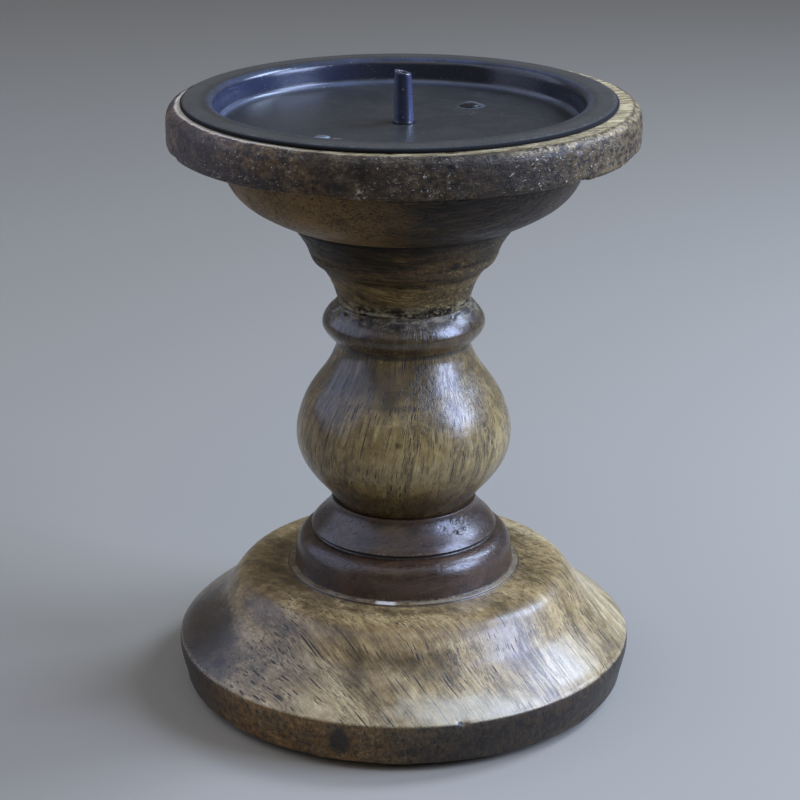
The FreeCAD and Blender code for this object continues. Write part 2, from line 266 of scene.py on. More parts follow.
def turning(P, r, z, phi, seed, ring=0.012, wave=0.06, rough=0.02):
    """What every turned and sanded surface has: it is a little out of round,
    has faint tool rings and a slight unevenness along the grain."""
    tool = noise(np.stack([r * 0 + 3.1, r * 0.9, z * 1.0], -1), 1.15, seed) * ring
    wide = layered(P, 0.028, seed + 1, 2) * wave
    small = layered(P, 0.22, seed + 2, 3) * rough
    return tool + wide + small


# ------------------------------------------------------------- the outlines
BASE_BAND = [(55.55, 1.80), (56.75, 2.20), (57.28, 3.10), (57.57, 4.70),
             (58.19, 7.11), (58.78, 9.53), (59.04, 11.46), (59.07, 12.72)]
BASE_EDGE = [(59.07, 12.72), (58.93, 13.46), (58.25, 14.08)]
BASE_SLOPE = [(58.25, 14.08), (56.98, 15.32), (54.58, 17.22), (52.05, 19.15),
              (49.65, 21.15), (47.68, 23.05), (46.27, 24.98), (45.11, 26.80),
              (44.05, 28.30), (42.99, 29.55), (41.73, 30.60), (39.99, 31.42),
              (37.87, 31.87), (34.87, 31.99)]
RING = [(30.04, 31.99), (29.96, 32.40), (29.60, 32.62)]
FOOT_TORUS = [(28.50, 32.62), (28.34, 33.68), (28.20, 35.22), (28.03, 36.96),
              (27.66, 38.55), (26.92, 40.00), (25.75, 41.10), (24.25, 41.74)]
FOOT_GROOVE = [(24.25, 41.74), (23.40, 42.12), (23.36, 42.55), (24.10, 43.05)]
FOOT_CONE = [(24.10, 43.05), (23.45, 43.95), (22.40, 45.12), (21.28, 46.22),
             (20.26, 47.32), (19.42, 48.46), (18.85, 49.58), (18.62, 50.58)]
BULB = [(17.50, 50.58), (18.36, 51.72), (19.44, 53.09), (20.86, 54.93),
        (22.60, 56.86), (24.15, 58.79), (25.45, 60.73), (26.42, 62.66),
        (27.08, 64.59), (27.48, 66.52), (27.62, 68.45), (27.50, 70.39),
        (27.16, 72.32), (26.65, 74.25), (25.99, 76.18), (25.16, 78.11),
        (24.10, 80.05), (22.80, 81.98), (21.35, 83.91), (19.98, 85.84),
        (18.82, 87.77), (17.90, 89.71), (17.24, 91.40), (16.90, 93.20)]
BEAD = [(16.90, 93.20), (17.86, 93.84), (18.84, 94.72), (19.70, 95.72),
        (20.34, 96.76), (20.64, 97.86), (20.44, 99.02), (19.82, 100.22),
        (18.95, 101.36), (17.95, 102.46), (16.80, 103.50)]
NECK = [(16.75, 103.50), (16.95, 104.78), (17.30, 106.20), (17.84, 107.82),
        (18.55, 109.45), (19.40, 110.98), (20.36, 112.38), (21.25, 113.47)]
COLLAR = [(21.25, 113.47), (22.50, 114.38), (23.46, 115.58), (23.96, 117.10),
          (24.58, 118.66), (25.48, 120.28), (26.54, 121.86), (27.62, 123.44),
          (28.30, 125.06)]
BOWL = [(28.60, 125.06), (30.55, 125.62), (32.54, 126.50), (34.49, 127.48),
        (36.42, 128.50), (38.22, 129.58), (39.84, 130.72), (41.24, 131.96),
        (42.42, 133.30), (43.42, 134.85), (44.34, 136.75), (45.14, 139.00),
        (45.70, 141.50), (45.95, 144.15)]
RIM_LOW = [(57.20, 144.15), (58.02, 144.42), (58.38, 145.15), (58.46, 147.10)]
RIM_SIDE = [(58.46, 147.10), (58.46, 149.20), (58.38, 151.10)]
RIM_TOP = [(58.38, 151.10), (58.17, 152.15), (57.68, 153.10), (56.90, 153.82),
           (55.90, 154.19)]
ROD_BORE = 3.3
CBORE = 10.5


# --------------------------------------------------------------- the pieces
def base_shape(P, N, r, z, phi, skin):
    m = turning(P, r, z, phi, 11, ring=0.014, wave=0.10, rough=0.03)
    # the band's upper edge is knocked and worn
    edge = np.exp(-((z - 13.3) / 0.9) ** 2)
    m -= edge * (0.10 + 0.16 * np.maximum(0, layered(P, 0.16, 21, 3)))
    m -= edge * 0.5 * ease(noise(P, 0.33, 23), 0.62, 0.95)
    m += dent(P, (14.8, -57.2, 13.7), (2.2, 1.4, 1.2), 0.75)
    m += dent(P, (17.2, -56.6, 13.9), (0.9, 0.9, 0.6), 0.35)
    m += dent(P, (-41.0, -42.0, 13.6), (2.6, 2.2, 0.9), 0.30)
    m += dent(P, (50.5, -30.0, 13.6), (2.4, 2.4, 1.0), 0.28)
    m += dent(P, (30.0, 50.5, 13.6), (2.0, 2.0, 1.1), 0.5)
    # the band itself is less smooth, and its lower edge is scuffed
    band = 1 - ease(z, 11.5, 13.0)
    m += band * 0.06 * layered(P, (0.10, 0.10, 0.35), 25, 3)
    m -= np.exp(-((z - 2.2) / 0.7) ** 2) * 0.16 * (0.6 + noise(P, 0.25, 27))
    return m * skin


def foot_shape(P, N, r, z, phi, skin):
    m = turning(P, r, z, phi, 31, ring=0.010, wave=0.05, rough=0.015)
    pits = ease(noise(P, 0.9, 33), 0.35, 0.8) * (
        1 - ease(near(P, (14.0, -14.6, 47.4), (6.5, 6.0, 2.6)), 0.4, 1.0))
    m -= 0.28 * pits
    m -= 0.10 * ease(noise(P, 1.1, 35), 0.72, 0.9)
    return m * skin


def stem_shape(P, N, r, z, phi, skin):
    m = turning(P, r, z, phi, 41, ring=0.014, wave=0.12, rough=0.03)
    # pores torn open along the grain
    torn = ease(noise(P, (0.9, 0.9, 0.13), 43), 0.66, 0.92)
    m -= 0.035 * torn * ease(z, 56, 64)
    # crease under the bead is uneven
    m -= 0.16 * np.exp(-((z - 93.3) / 0.8) ** 2) * (0.5 + noise(P, 0.5, 45))
    # rough, filled joint at the top
    top = ease(z, 100.9, 102.6)
    m += top * (0.22 * layered(P, (0.22, 0.22, 0.6), 47, 3) - 0.04)
    m -= top * 0.28 * ease(noise(P, (0.3, 0.3, 0.7), 49), 0.45, 0.8)
    return m * skin


def neck_shape(P, N, r, z, phi, skin):
    m = turning(P, r, z, phi, 51, ring=0.035, wave=0.12, rough=0.05)
    low = 1 - ease(z, 104.4, 106.6)
    m += low * (0.26 * layered(P, (0.22, 0.22, 0.6), 53, 3) - 0.05)
    m -= low * 0.34 * ease(noise(P, (0.3, 0.3, 0.7), 55), 0.35, 0.75)
    # tool rings in the hollow and above the roll
    m += 0.035 * np.sin(z * 3.3 + 0.8 * noise(P, 0.06, 57)) * ease(z, 105, 109)
    # the knot by the roll stands a little proud, with a hollow round it
    d = near(P, (12.6, -21.0, 118.2), (2.6, 2.6, 2.0))
    m += 0.22 * (1 - ease(d, 0.2, 0.7)) - 0.18 * np.exp(-((d - 0.95) / 0.25) ** 2)
    m -= 0.16 * ease(noise(P, (0.3, 0.3, 1.1), 59), 0.6, 0.9)
    return m * skin


CRACK = [(54.9, -22.0, 153.9), (52.9, -25.2, 150.2), (53.6, -24.2, 147.6),
         (51.6, -27.6, 145.2)]


def crack_distance(P):
    best = np.full(P.shape[:-1], 1e9)
    pts = [np.array(p, float) for p in CRACK]
    for a, b in zip(pts[:-1], pts[1:]):
        ab = b - a
        t = np.clip(((P - a) @ ab) / (ab @ ab), 0, 1)
        best = np.minimum(best, np.linalg.norm(P - (a + t[..., None] * ab),
                                               axis=-1))
    return best


def cup_shape(P, N, r, z, phi, skin):
    m = turning(P, r, z, phi, 61, ring=0.012, wave=0.12, rough=0.03)
    rim = ease(z, 144.0, 144.6)
    # the rim's side is uneven, scuffed and dented
    m += rim * 0.10 * layered(P, (0.22, 0.22, 0.35), 63, 3)
    m -= rim * 0.22 * ease(noise(P, (0.30, 0.30, 0.55), 65), 0.62, 0.95)
    low = np.exp(-((z - 144.7) / 0.8) ** 2) * ease(r, 54, 57.5)
    m -= low * 0.55 * ease(noise(P, 0.20, 67), 0.35, 0.9)
    m -= low * 0.30 * ease(noise(P, 0.6, 69), 0.45, 0.9)
    high = np.exp(-((z - 153.2) / 1.0) ** 2) * ease(r, 56, 57.5)
    m -= high * 0.30 * ease(layered(P, 0.16, 71, 2), 0.1, 0.6)
    m -= high * 0.25 * ease(noise(P, 0.55, 73), 0.5, 0.9)
    m += dent(P, (8.0, -58.2, 145.0), (2.4, 1.6, 1.6), 0.65)
    m += dent(P, (-9.5, -57.7, 145.2), (1.8, 1.4, 1.3), 0.45)
    m += dent(P, (10.3, -58.0, 151.9), (1.1, 1.2, 1.0), 0.30)
    m += dent(P, (40.5, -42.6, 151.8), (1.6, 1.6, 1.1), 0.35)
    m += dent(P, (-52.0, 26.0, 145.0), (3.0, 2.5, 1.4), 0.6)
    m += dent(P, (20.0, 55.5, 153.6), (2.5, 2.0, 1.2), 0.45)
    # a short crack at the right, from the top edge down the side
    m -= 0.55 * np.exp(-(crack_distance(P) / 0.42) ** 2) * (skin > 0)
    return m * skin


def make_base():
    ceiling = 1.80 + 9.4
    socket = 32.62 - 5.3
    rs = 15.15
    return turned_piece("plinth", [
        ([(CBORE, 1.80), (55.55, 1.80)], 2.5, 1, 0.35),
        (BASE_BAND, 0.5, 1, 0),
        (BASE_EDGE, 0.22, 1, 0),
        (BASE_SLOPE, 0.42, 1, 0),
        ([(34.87, 31.99), (30.04, 31.99)], 0.5, 1, 0),
        (RING, 0.14, 1, 0),
        ([(29.60, 32.62), (rs, 32.62)], 1.4, 0, 0),
        ([(rs, 32.62), (rs, socket)], 1.5, 0, 0),
        ([(rs, socket), (ROD_BORE, socket)], 2.5, 0, 0),
        ([(ROD_BORE, socket), (ROD_BORE, ceiling)], 4, 0, 0),
        ([(ROD_BORE, ceiling), (CBORE, ceiling)], 2.5, 0, 0),
        ([(CBORE, ceiling), (CBORE, 1.80)], 2.4, 0, 0)], 560, base_shape)


def make_foot():
    low = 32.62 - 5.0
    socket = 50.58 - 8.3
    rs = 9.15
    return turned_piece("foot", [
        ([(ROD_BORE, low), (15.0, low)], 3, 0, 0),
        ([(15.0, low), (15.0, 32.62)], 2.5, 0, 0),
        ([(15.0, 32.62), (28.50, 32.62)], 2, 0, 0),
        ([(28.50, 32.62), (28.50, 32.63)], 1, 1, 0),
        (FOOT_TORUS, 0.32, 1, 0.18),
        (FOOT_GROOVE, 0.16, 1, 0.12),
        (FOOT_CONE, 0.30, 1, 0.25),
        ([(18.62, 50.58), (rs, 50.58)], 1.6, 0, 0),
        ([(rs, 50.58), (rs, socket)], 2.0, 0, 0),
        ([(rs, socket), (ROD_BORE, socket)], 2.0, 0, 0),
        ([(ROD_BORE, socket), (ROD_BORE, low)], 4, 0, 0)], 420, foot_shape)


def make_stem():
    low = 50.58 - 8.0
    top = 103.50 + 7.0
    return turned_piece("baluster", [
        ([(ROD_BORE, low), (9.0, low)], 2, 0, 0),
        ([(9.0, low), (9.0, 50.58)], 2, 0, 0),
        ([(9.0, 50.58), (17.50, 50.58)], 1.5, 0, 0.3),
        (BULB, 0.40, 1, 0.10),
        (BEAD, 0.26, 1, 0.2),
        ([(16.80, 103.50), (8.0, 103.50)], 1.5, 0, 0),
        ([(8.0, 103.50), (8.0, top)], 2, 0, 0),
        ([(8.0, top), (ROD_BORE, top)], 2, 0, 0),
        ([(ROD_BORE, top), (ROD_BORE, low)], 6, 0, 0)], 440, stem_shape)


def make_neck():
    socket = 103.50 + 7.3
    top = 125.06 + 5.0
    rs = 8.15
    return turned_piece("neck", [
        ([(rs, 103.50), (16.75, 103.50)], 1.5, 0, 0.2),
        (NECK, 0.26, 1, 0),
        (COLLAR, 0.26, 1, 0.15),
        ([(28.30, 125.06), (15.0, 125.06)], 2, 0, 0),
        ([(15.0, 125.06), (15.0, top)], 2, 0, 0),
        ([(15.0, top), (ROD_BORE, top)], 2.5, 0, 0),
        ([(ROD_BORE, top), (ROD_BORE, socket)], 4, 0, 0),
        ([(ROD_BORE, socket), (rs, socket)], 2, 0, 0),
        ([(rs, socket), (rs, 103.50)], 2, 0, 0)], 440, neck_shape)


def make_cup():
    socket = 125.06 + 5.3
    floor = 148.20
    pocket = floor - 8.4
    rs = 15.15
    rec = 48.6
    return turned_piece("cup", [
        ([(rs, 125.06), (28.60, 125.06)], 2, 0, 0.2),
        (BOWL, 0.50, 1, 0.35),
        ([(45.95, 144.15), (57.20, 144.15)], 0.8, 1, 0),
        (RIM_LOW, 0.24, 1, 0),
        (RIM_SIDE, 0.36, 1, 0),
        (RIM_TOP, 0.24, 1, 0),
        ([(55.90, 154.19), (rec, 154.19)], 0.6, 1, 0.3),
        ([(rec, 154.19), (rec, floor)], 1.5, 0, 0),
        ([(rec, floor), (CBORE, floor)], 5, 0, 0),
        ([(CBORE, floor), (CBORE, pocket)], 2.8, 0, 0),
        ([(CBORE, pocket), (ROD_BORE, pocket)], 3, 0, 0),
        ([(ROD_BORE, pocket), (ROD_BORE, socket)], 5, 0, 0),
        ([(ROD_BORE, socket), (rs, socket)], 4, 0, 0),
        ([(rs, socket), (rs, 125.06)], 2.7, 0, 0)], 600, cup_shape)


# the pan: pressed sheet, its middle drawn 1.1 mm to the left of the spike
PAN_X, PAN_T = -1.1, 0.7
PAN_TOP, PAN_FLOOR = 155.35, 148.90


def pan_skin(r0, r1, floor_z, top_z, r_low, r_top, start, end, step):
    """Floor, leaning wall and flange of one side of the sheet as sections."""
    lean = math.atan2(r1 - r0, top_z - floor_z)
    half = (math.pi / 2 - lean) / 2
    cl, ct = r_low * math.tan(half), r_top * math.tan(half)
    up = np.array([math.sin(lean), math.cos(lean)])
    p1 = np.array([r0 - cl, floor_z])
    p2 = np.array([r0, floor_z]) + up * cl
    p3 = np.array([r1, top_z]) - up * ct
    p4 = np.array([r1 + ct, top_z])
    c1 = np.array([p1[0], floor_z + r_low])
    c2 = np.array([p4[0], top_z - r_top])

    def arc(c, a, b, rad):
        s0 = math.atan2(a[1] - c[1], a[0] - c[0])
        s1 = math.atan2(b[1] - c[1], b[0] - c[0])
        while s1 - s0 > math.pi:
            s1 -= 2 * math.pi
        while s1 - s0 < -math.pi:
            s1 += 2 * math.pi
        return [tuple(c + rad * np.array([math.cos(t), math.sin(t)]))
                for t in np.linspace(s0, s1, 9)]

    return [([(start, floor_z), tuple(p1)], step, 1, 0),
            (arc(c1, p1, p2, r_low), 0.3, 1, 0),
            ([tuple(p2), tuple(p3)], 0.6, 1, 0),
            (arc(c2, p3, p4, r_top), 0.3, 1, 0),
            ([tuple(p4), (end, top_z)], 0.7, 1, 0)]


def pan_shape(P, N, r, z, phi, skin):
    # moves nothing: the sheet's slight waves are added to both of its faces in make_pan
    return 0 * r


def make_pan():
    lean = math.atan2(45.7 - 44.6, PAN_TOP - PAN_FLOOR)
    grow = PAN_T / math.cos(lean) - PAN_T * math.tan(lean)
    lip = 53.8 - 1.6
    over = pan_skin(44.6, 45.7, PAN_FLOOR, PAN_TOP, 1.6, 1.9, 1.98, lip, 1.6)
    under = pan_skin(44.6 + grow, 45.7 + grow, PAN_FLOOR - PAN_T,
                     PAN_TOP - PAN_T, 1.6 + PAN_T, 1.9 - PAN_T, 1.98, lip, 2.2)
    edge = [([(lip, PAN_TOP), (lip + 0.8, PAN_TOP - 0.08),
              (53.65, PAN_TOP - 0.35)], 0.3, 1, 0),
            ([(53.65, PAN_TOP - 0.35), (53.76, PAN_TOP - 0.47),
              (53.80, PAN_TOP - 0.70), (53.76, PAN_TOP - 0.93),
              (53.65, PAN_TOP - 0.35 - PAN_T)], 0.12, 1, 0),
            ([(53.65, PAN_TOP - 0.35 - PAN_T),
              (lip + 0.8, PAN_TOP - PAN_T - 0.08), (lip, PAN_TOP - PAN_T)],
             0.3, 1, 0)]
    back = [(list(reversed(pts)), step, show, 0)
            for pts, step, show, _ in reversed(under)]
    hole = [([(1.98, PAN_FLOOR - PAN_T), (1.98, PAN_FLOOR)], 0.35, 0, 0)]
    P, ccw = revolve(over + edge + back + hole, 420)
    # the centre hole stays round the spike while the rest is drawn aside
    r = np.hypot(P[..., 0], P[..., 1])
    P[..., 0] += PAN_X * ease(r, 3.0, 30.0)
    # pressed sheet: slight waves in floor and flange, which fade out round the tack and the
    # pin
    flat = P.copy()
    flat[..., 2] = 0
    wave = 0.10 * layered(flat, 0.032, 81, 2) + 0.025 * noise(flat, 0.12, 83)
    wave *= ease(r, 2.6, 9.0)
    wave *= 1 - 0.55 * ease(r, 46, 48)
    for x, y, rad, deep in ((16.8, 18.4, 6.5, 0.10), (-19.6, -16.0, 5.0, 0.10)):
        d = np.hypot(P[..., 0] - x, P[..., 1] - y) / rad
        wave = wave * ease(d, 0.5, 1.0)
    P[..., 2] += wave
    # the flange's edge is not cut quite round
    phi = np.arctan2(P[..., 1], P[..., 0] - PAN_X)
    circ = np.stack([20 * np.cos(phi), 20 * np.sin(phi), 0 * phi], -1)
    out = -0.16 * (0.5 + 0.5 * layered(circ, 0.11, 85, 2)) * ease(r, 51, 53.5)
    P[..., 0] += out * np.cos(phi)
    P[..., 1] += out * np.sin(phi)
    faces = grid_faces(P.shape[0], P.shape[1], ccw)
    return mesh_object("pan", P.reshape(-1, 3), faces)


def make_spike():
    """Tube rolled from sheet: outside, askew tip, bore, and the tenon peened
    over under the pan.  It leans to the left."""
    seg = 120
    foot, tall = PAN_FLOOR, 12.6
    lean, tilt = math.radians(1.2), math.radians(13.0)
    rows = []
    zb = PAN_FLOOR - PAN_T - 0.45
    rows += [(1.45, zb), (2.6, zb), (2.86, zb + 0.10), (2.9, zb + 0.25),
             (2.82, zb + 0.43), (1.90, zb + 0.45), (1.90, foot)]
    rows += [(2.55, foot + 0.0), (2.62, foot + 0.10), (2.60, foot + 0.28),
             (2.51, foot + 0.55)]
    ups = list(np.linspace(0.9, tall - 0.32, 34))
    taper = (2.50 - 2.03) / tall
    rows += [(2.50 - taper * u, foot + u) for u in ups]
    top = tall
    rt, bt = 2.03, 0.98
    rows += [(rt - 0.01, foot + top - 0.16), (rt - 0.07, foot + top - 0.05),
             (rt - 0.20, foot + top), ((rt + bt) / 2, foot + top + 0.01),
             (bt + 0.20, foot + top), (bt + 0.06, foot + top - 0.06),
             (bt + 0.01, foot + top - 0.22)]
    first_bore = len(rows)
    bt_taper = (1.45 - 0.98) / tall
    rows += [(1.45 - bt_taper * u, foot + u)
             for u in np.linspace(tall - 0.6, 0.3, 22)]
    rows += [(1.45, foot - 0.1), (1.45, zb + 0.2)]
    rows = np.array(rows)
    phi = np.linspace(0, 2 * math.pi, seg, endpoint=False)
    c, s = np.cos(phi)[None, :], np.sin(phi)[None, :]
    r, z = rows[:, 0][:, None], rows[:, 1][:, None]
    P = np.stack([r * c, r * s, z + 0 * c], -1)
    up = np.clip((P[..., 2] - foot) / tall, 0, None)
    # hand rolled: slightly oval and uneven, more so at the tip
    n = layered(P, (0.45, 0.45, 0.16), 91, 3)
    oval = 0.035 * np.cos(2 * phi + 0.7)[None, :] * ease(up, 0.05, 1)
    grow = (oval + 0.05 * n) * ease(up, 0.02, 0.15)
    P[..., 0] += c * grow
    P[..., 1] += s * grow
    # the rolled sheet's seam, a shallow groove down the back
    seam = math.radians(118)
    d = np.arctan2(np.sin(phi - seam), np.cos(phi - seam))[None, :] * r
    groove = 0.16 * np.exp(-(d / 0.16) ** 2) * ease(up, 0.02, 0.1)
    outside = (np.arange(len(rows)) < first_bore)[:, None]
    P[..., 0] -= c * groove * outside
    P[..., 1] -= s * groove * outside
    # the askew tip: the height above the middle is sheared near the top
    shear = -math.tan(tilt) * P[..., 0]
    P[..., 2] += shear * ease(up, 0.55, 1.0)
    P[..., 2] += 0.05 * noise(P * np.array([1, 1, 0]), 0.9, 95) * ease(up, 0.9, 1)
    P[..., 0] -= math.tan(lean) * np.maximum(0, P[..., 2] - foot)
    area = np.sum(rows[:, 0] * np.roll(rows[:, 1], -1)
                  - np.roll(rows[:, 0], -1) * rows[:, 1])
    faces = grid_faces(len(rows), seg, area > 0)
    return mesh_object("spike", P.reshape(-1, 3), faces)


def make_nail(name, at, head, edge, rise, shank, length, seed):
    """Head with a low dome and a slightly rolled edge, shank and point."""
    seg = 72
    z0 = PAN_FLOOR
    big = (head ** 2 + rise ** 2) / (2 * rise)
    rows = [(0.12, z0 - length), (shank * 0.55, z0 - length + shank * 0.8),
            (shank, z0 - length + 1.7 * shank), (shank, z0 - 4.0),
            (shank, z0 - 0.05), (shank + 0.05, z0)]
    rows += [(r, z0) for r in np.linspace(shank + 0.3, head - 0.12, 4)]
    rows += [(head - 0.02, z0 + 0.05), (head, z0 + edge * 0.5),
             (head - 0.02, z0 + edge * 0.85), (head - 0.09, z0 + edge)]
    for r in np.linspace(head - 0.22, 0.06, 14):
        rows.append((r, z0 + edge + rise - big + math.sqrt(big ** 2 - r ** 2)))
    rows = np.array(rows)
    phi = np.linspace(0, 2 * math.pi, seg, endpoint=False)
    c, s = np.cos(phi)[None, :], np.sin(phi)[None, :]
    r, z = rows[:, 0][:, None], rows[:, 1][:, None]
    P = np.stack([r * c, r * s, z + 0 * c], -1)
    hit = ease(P[..., 2], z0 + 0.1, z0 + edge)
    P[..., 2] += hit * 0.045 * layered(P, 0.75, seed, 2)
    P[..., 2] = np.where(hit > 0, np.minimum(P[..., 2], z0 + edge + rise),
                         P[..., 2])
    P[..., 0] += at[0]
    P[..., 1] += at[1]
    n = len(rows)
    faces = grid_faces(n, seg, True, closed=False)
    ends = [tuple(reversed(range(seg))), tuple((n - 1) * seg + k
                                               for k in range(seg))]
    me = bpy.data.meshes.new(name)
    me.from_pydata((P.reshape(-1, 3) * MM).tolist(), [],
                   [tuple(f) for f in faces.tolist()] + ends)
    me.polygons.foreach_set("use_smooth", np.ones(len(me.polygons), bool))
    me.update()
    ob = bpy.data.objects.new(name, me)
    bpy.context.scene.collection.objects.link(ob)
    return ob


def make_felt():
    """Die-cut disc: soft upper and lower edges, a fuzzy outline and a slightly uneven nap."""
    seg = 420
    rows = [(0.05, 0.03)] + [(r, 0.03) for r in np.linspace(3, 48.6, 20)]
    rows += [(49.4, 0.06), (49.8, 0.20), (49.97, 0.5), (50.0, 0.9),
             (49.97, 1.3), (49.8, 1.62), (49.4, 1.76)]
    rows += [(r, 1.79) for r in np.linspace(48.6, 3, 20)] + [(0.05, 1.79)]
    rows = np.array(rows)
    phi = np.linspace(0, 2 * math.pi, seg, endpoint=False)
    c, s = np.cos(phi)[None, :], np.sin(phi)[None, :]
    r, z = rows[:, 0][:, None], rows[:, 1][:, None]
    P = np.stack([r * c, r * s, z + 0 * c], -1)
    fuzz = -0.12 * (0.5 + 0.5 * layered(P, 1.1, 97, 3)) * ease(r, 49, 49.8)
    P[..., 0] += c * fuzz
    P[..., 1] += s * fuzz
    nap = 0.03 * (0.5 + 0.5 * layered(P, 0.5, 99, 3))
    P[..., 2] += np.where(z < 0.9, nap, -nap)
    n = len(rows)
    faces = grid_faces(n, seg, True, closed=False)
    ends = [tuple(reversed(range(seg))),
            tuple((n - 1) * seg + k for k in range(seg))]
    me = bpy.data.meshes.new("felt")
    me.from_pydata((P.reshape(-1, 3) * MM).tolist(), [],
                   [tuple(f) for f in faces.tolist()] + ends)
    me.polygons.foreach_set("use_smooth", np.ones(len(me.polygons), bool))
    me.update()
    ob = bpy.data.objects.new("felt", me)
    bpy.context.scene.collection.objects.link(ob)
    return ob


plinth = make_base()
foot = make_foot()
baluster = make_stem()
neck = make_neck()
cup = make_cup()
pan = make_pan()
spike = make_spike()
tack = make_nail("tack", (16.8, 18.4), 2.45, 0.35, 0.65, 0.80, 11.0, 101)
pin = make_nail("pin", (-19.6, -16.0), 1.50, 0.25, 0.20, 0.55, 9.0, 103)
felt = make_felt()


# ------------------------------------------------------------ the materials
def srgb(r, g, b):
    def lin(v):
        v /= 255.0
        return v / 12.92 if v <= 0.04045 else ((v + 0.055) / 1.055) ** 2.4
    return (lin(r), lin(g), lin(b), 1.0)


class Graph:
    """A material with one Principled shader and short names for its nodes.
    P is the place in the row frame in mm, which the patterns read."""

    def __init__(self, name):
        self.mat = bpy.data.materials.new(name)
        self.mat.use_nodes = True
        self.tree = self.mat.node_tree
        self.tree.nodes.clear()
        self.out = self.tree.nodes.new("ShaderNodeOutputMaterial")
        self.bsdf = self.tree.nodes.new("ShaderNodeBsdfPrincipled")
        self.tree.links.new(self.bsdf.outputs[0], self.out.inputs[0])
        tc = self.tree.nodes.new("ShaderNodeTexCoord")
        self.P = self.move(tc.outputs["Object"], scale=(1000, 1000, 1000))
        sep = self.tree.nodes.new("ShaderNodeSeparateXYZ")
        self.link(self.P, sep.inputs[0])
        self.x, self.y, self.z = sep.outputs
        self.r = self.math("SQRT", self.math("ADD",
                           self.math("MULTIPLY", self.x, self.x),
                           self.math("MULTIPLY", self.y, self.y)))

    def link(self, a, b):
        self.tree.links.new(a, b)

    def put(self, socket, value):
        if isinstance(value, bpy.types.NodeSocket):
            self.link(value, socket)
        elif value is not None:
            socket.default_value = value

    def move(self, vec, scale=(1, 1, 1), rot=(0, 0, 0), loc=(0, 0, 0)):
        n = self.tree.nodes.new("ShaderNodeMapping")
        self.put(n.inputs["Vector"], vec)
        n.inputs["Location"].default_value = loc
        n.inputs["Rotation"].default_value = rot
        n.inputs["Scale"].default_value = scale
        return n.outputs[0]

    def math(self, op, a, b=None, c=None, clamp=False):
        n = self.tree.nodes.new("ShaderNodeMath")
        n.operation = op
        n.use_clamp = clamp
        for i, v in enumerate((a, b, c)):
            self.put(n.inputs[i], v)
        return n.outputs[0]

    def add(self, *v):
        out = v[0]
        for w in v[1:]:
            out = self.math("ADD", out, w)
        return out

    def mul(self, *v):
        out = v[0]
        for w in v[1:]:
            out = self.math("MULTIPLY", out, w)
        return out

    def inv(self, v):
        return self.math("SUBTRACT", 1.0, v)

    def vadd(self, a, b, scale=1.0):
        n = self.tree.nodes.new("ShaderNodeVectorMath")
        n.operation = "MULTIPLY_ADD"
        self.put(n.inputs[0], b)
        n.inputs[1].default_value = scale if isinstance(scale, tuple) else (
            scale, scale, scale)
        self.put(n.inputs[2], a)
        return n.outputs[0]

    def span(self, v, a, b, lo=0.0, hi=1.0, smooth=True):
        n = self.tree.nodes.new("ShaderNodeMapRange")
        n.interpolation_type = "SMOOTHSTEP" if smooth else "LINEAR"
        n.clamp = True
        self.put(n.inputs["Value"], v)
        self.put(n.inputs["From Min"], a)
        self.put(n.inputs["From Max"], b)
        self.put(n.inputs["To Min"], lo)
        self.put(n.inputs["To Max"], hi)
        return n.outputs["Result"]

    def noise(self, vec, scale=1.0, detail=2.0, rough=0.5, twist=0.0,
              colour=False):
        n = self.tree.nodes.new("ShaderNodeTexNoise")
        self.put(n.inputs["Vector"], vec)
        n.inputs["Scale"].default_value = scale
        n.inputs["Detail"].default_value = detail
        n.inputs["Roughness"].default_value = rough
        n.inputs["Distortion"].default_value = twist
        return n.outputs["Color"] if colour else n.outputs[0]

    def cells(self, vec, scale=1.0, feature="F1"):
        n = self.tree.nodes.new("ShaderNodeTexVoronoi")
        n.feature = feature
        self.put(n.inputs["Vector"], vec)
        n.inputs["Scale"].default_value = scale
        return n.outputs["Distance"], n.outputs.get("Color")

    def ramp(self, fac, stops):
        n = self.tree.nodes.new("ShaderNodeValToRGB")
        self.put(n.inputs[0], fac)
        e = n.color_ramp.elements
        while len(e) > 1:
            e.remove(e[-1])
        e[0].position, e[0].color = stops[0]
        for pos, col in stops[1:]:
            k = e.new(pos)
            k.color = col
        return n.outputs[0]

    def mix(self, fac, a, b, blend="MIX"):
        n = self.tree.nodes.new("ShaderNodeMix")
        n.data_type = "RGBA"
        n.blend_type = blend
        self.put(n.inputs[0], fac)
        self.put(n.inputs[6], a)
        self.put(n.inputs[7], b)
        return n.outputs[2]

    def stain(self, fac, c, r, g, b):
        """stain over wood: multiplies it, so that the grain stays visible"""
        return self.mix(fac, c, (r, g, b, 1.0), "MULTIPLY")

    def shade(self, colour, amount):
        """colour times a number socket"""
        n = self.tree.nodes.new("ShaderNodeVectorMath")
        n.operation = "SCALE"
        self.put(n.inputs[0], colour)
        self.put(n.inputs["Scale"], amount)
        return n.outputs[0]

    def blob(self, at, radii, hard=0.4, wobble=None):
        """1 in the middle of an ellipsoid, 0 outside it; wobble is a noise
        output that frays its outline."""
        if not isinstance(radii, tuple):
            radii = (radii,) * 3
        q = self.move(self.P, scale=tuple(1.0 / v for v in radii),
                      loc=tuple(-a / v for a, v in zip(at, radii)))
        n = self.tree.nodes.new("ShaderNodeVectorMath")
        n.operation = "LENGTH"
        self.link(q, n.inputs[0])
        d = n.outputs["Value"]
        if wobble is not None:
            d = self.add(d, self.mul(self.math("SUBTRACT", wobble, 0.5), 0.9))
        return self.span(d, 1.0, hard)

    def band(self, v, lo, hi, soft):
        return self.mul(self.span(v, lo - soft, lo + soft),
                        self.span(v, hi + soft, hi - soft))

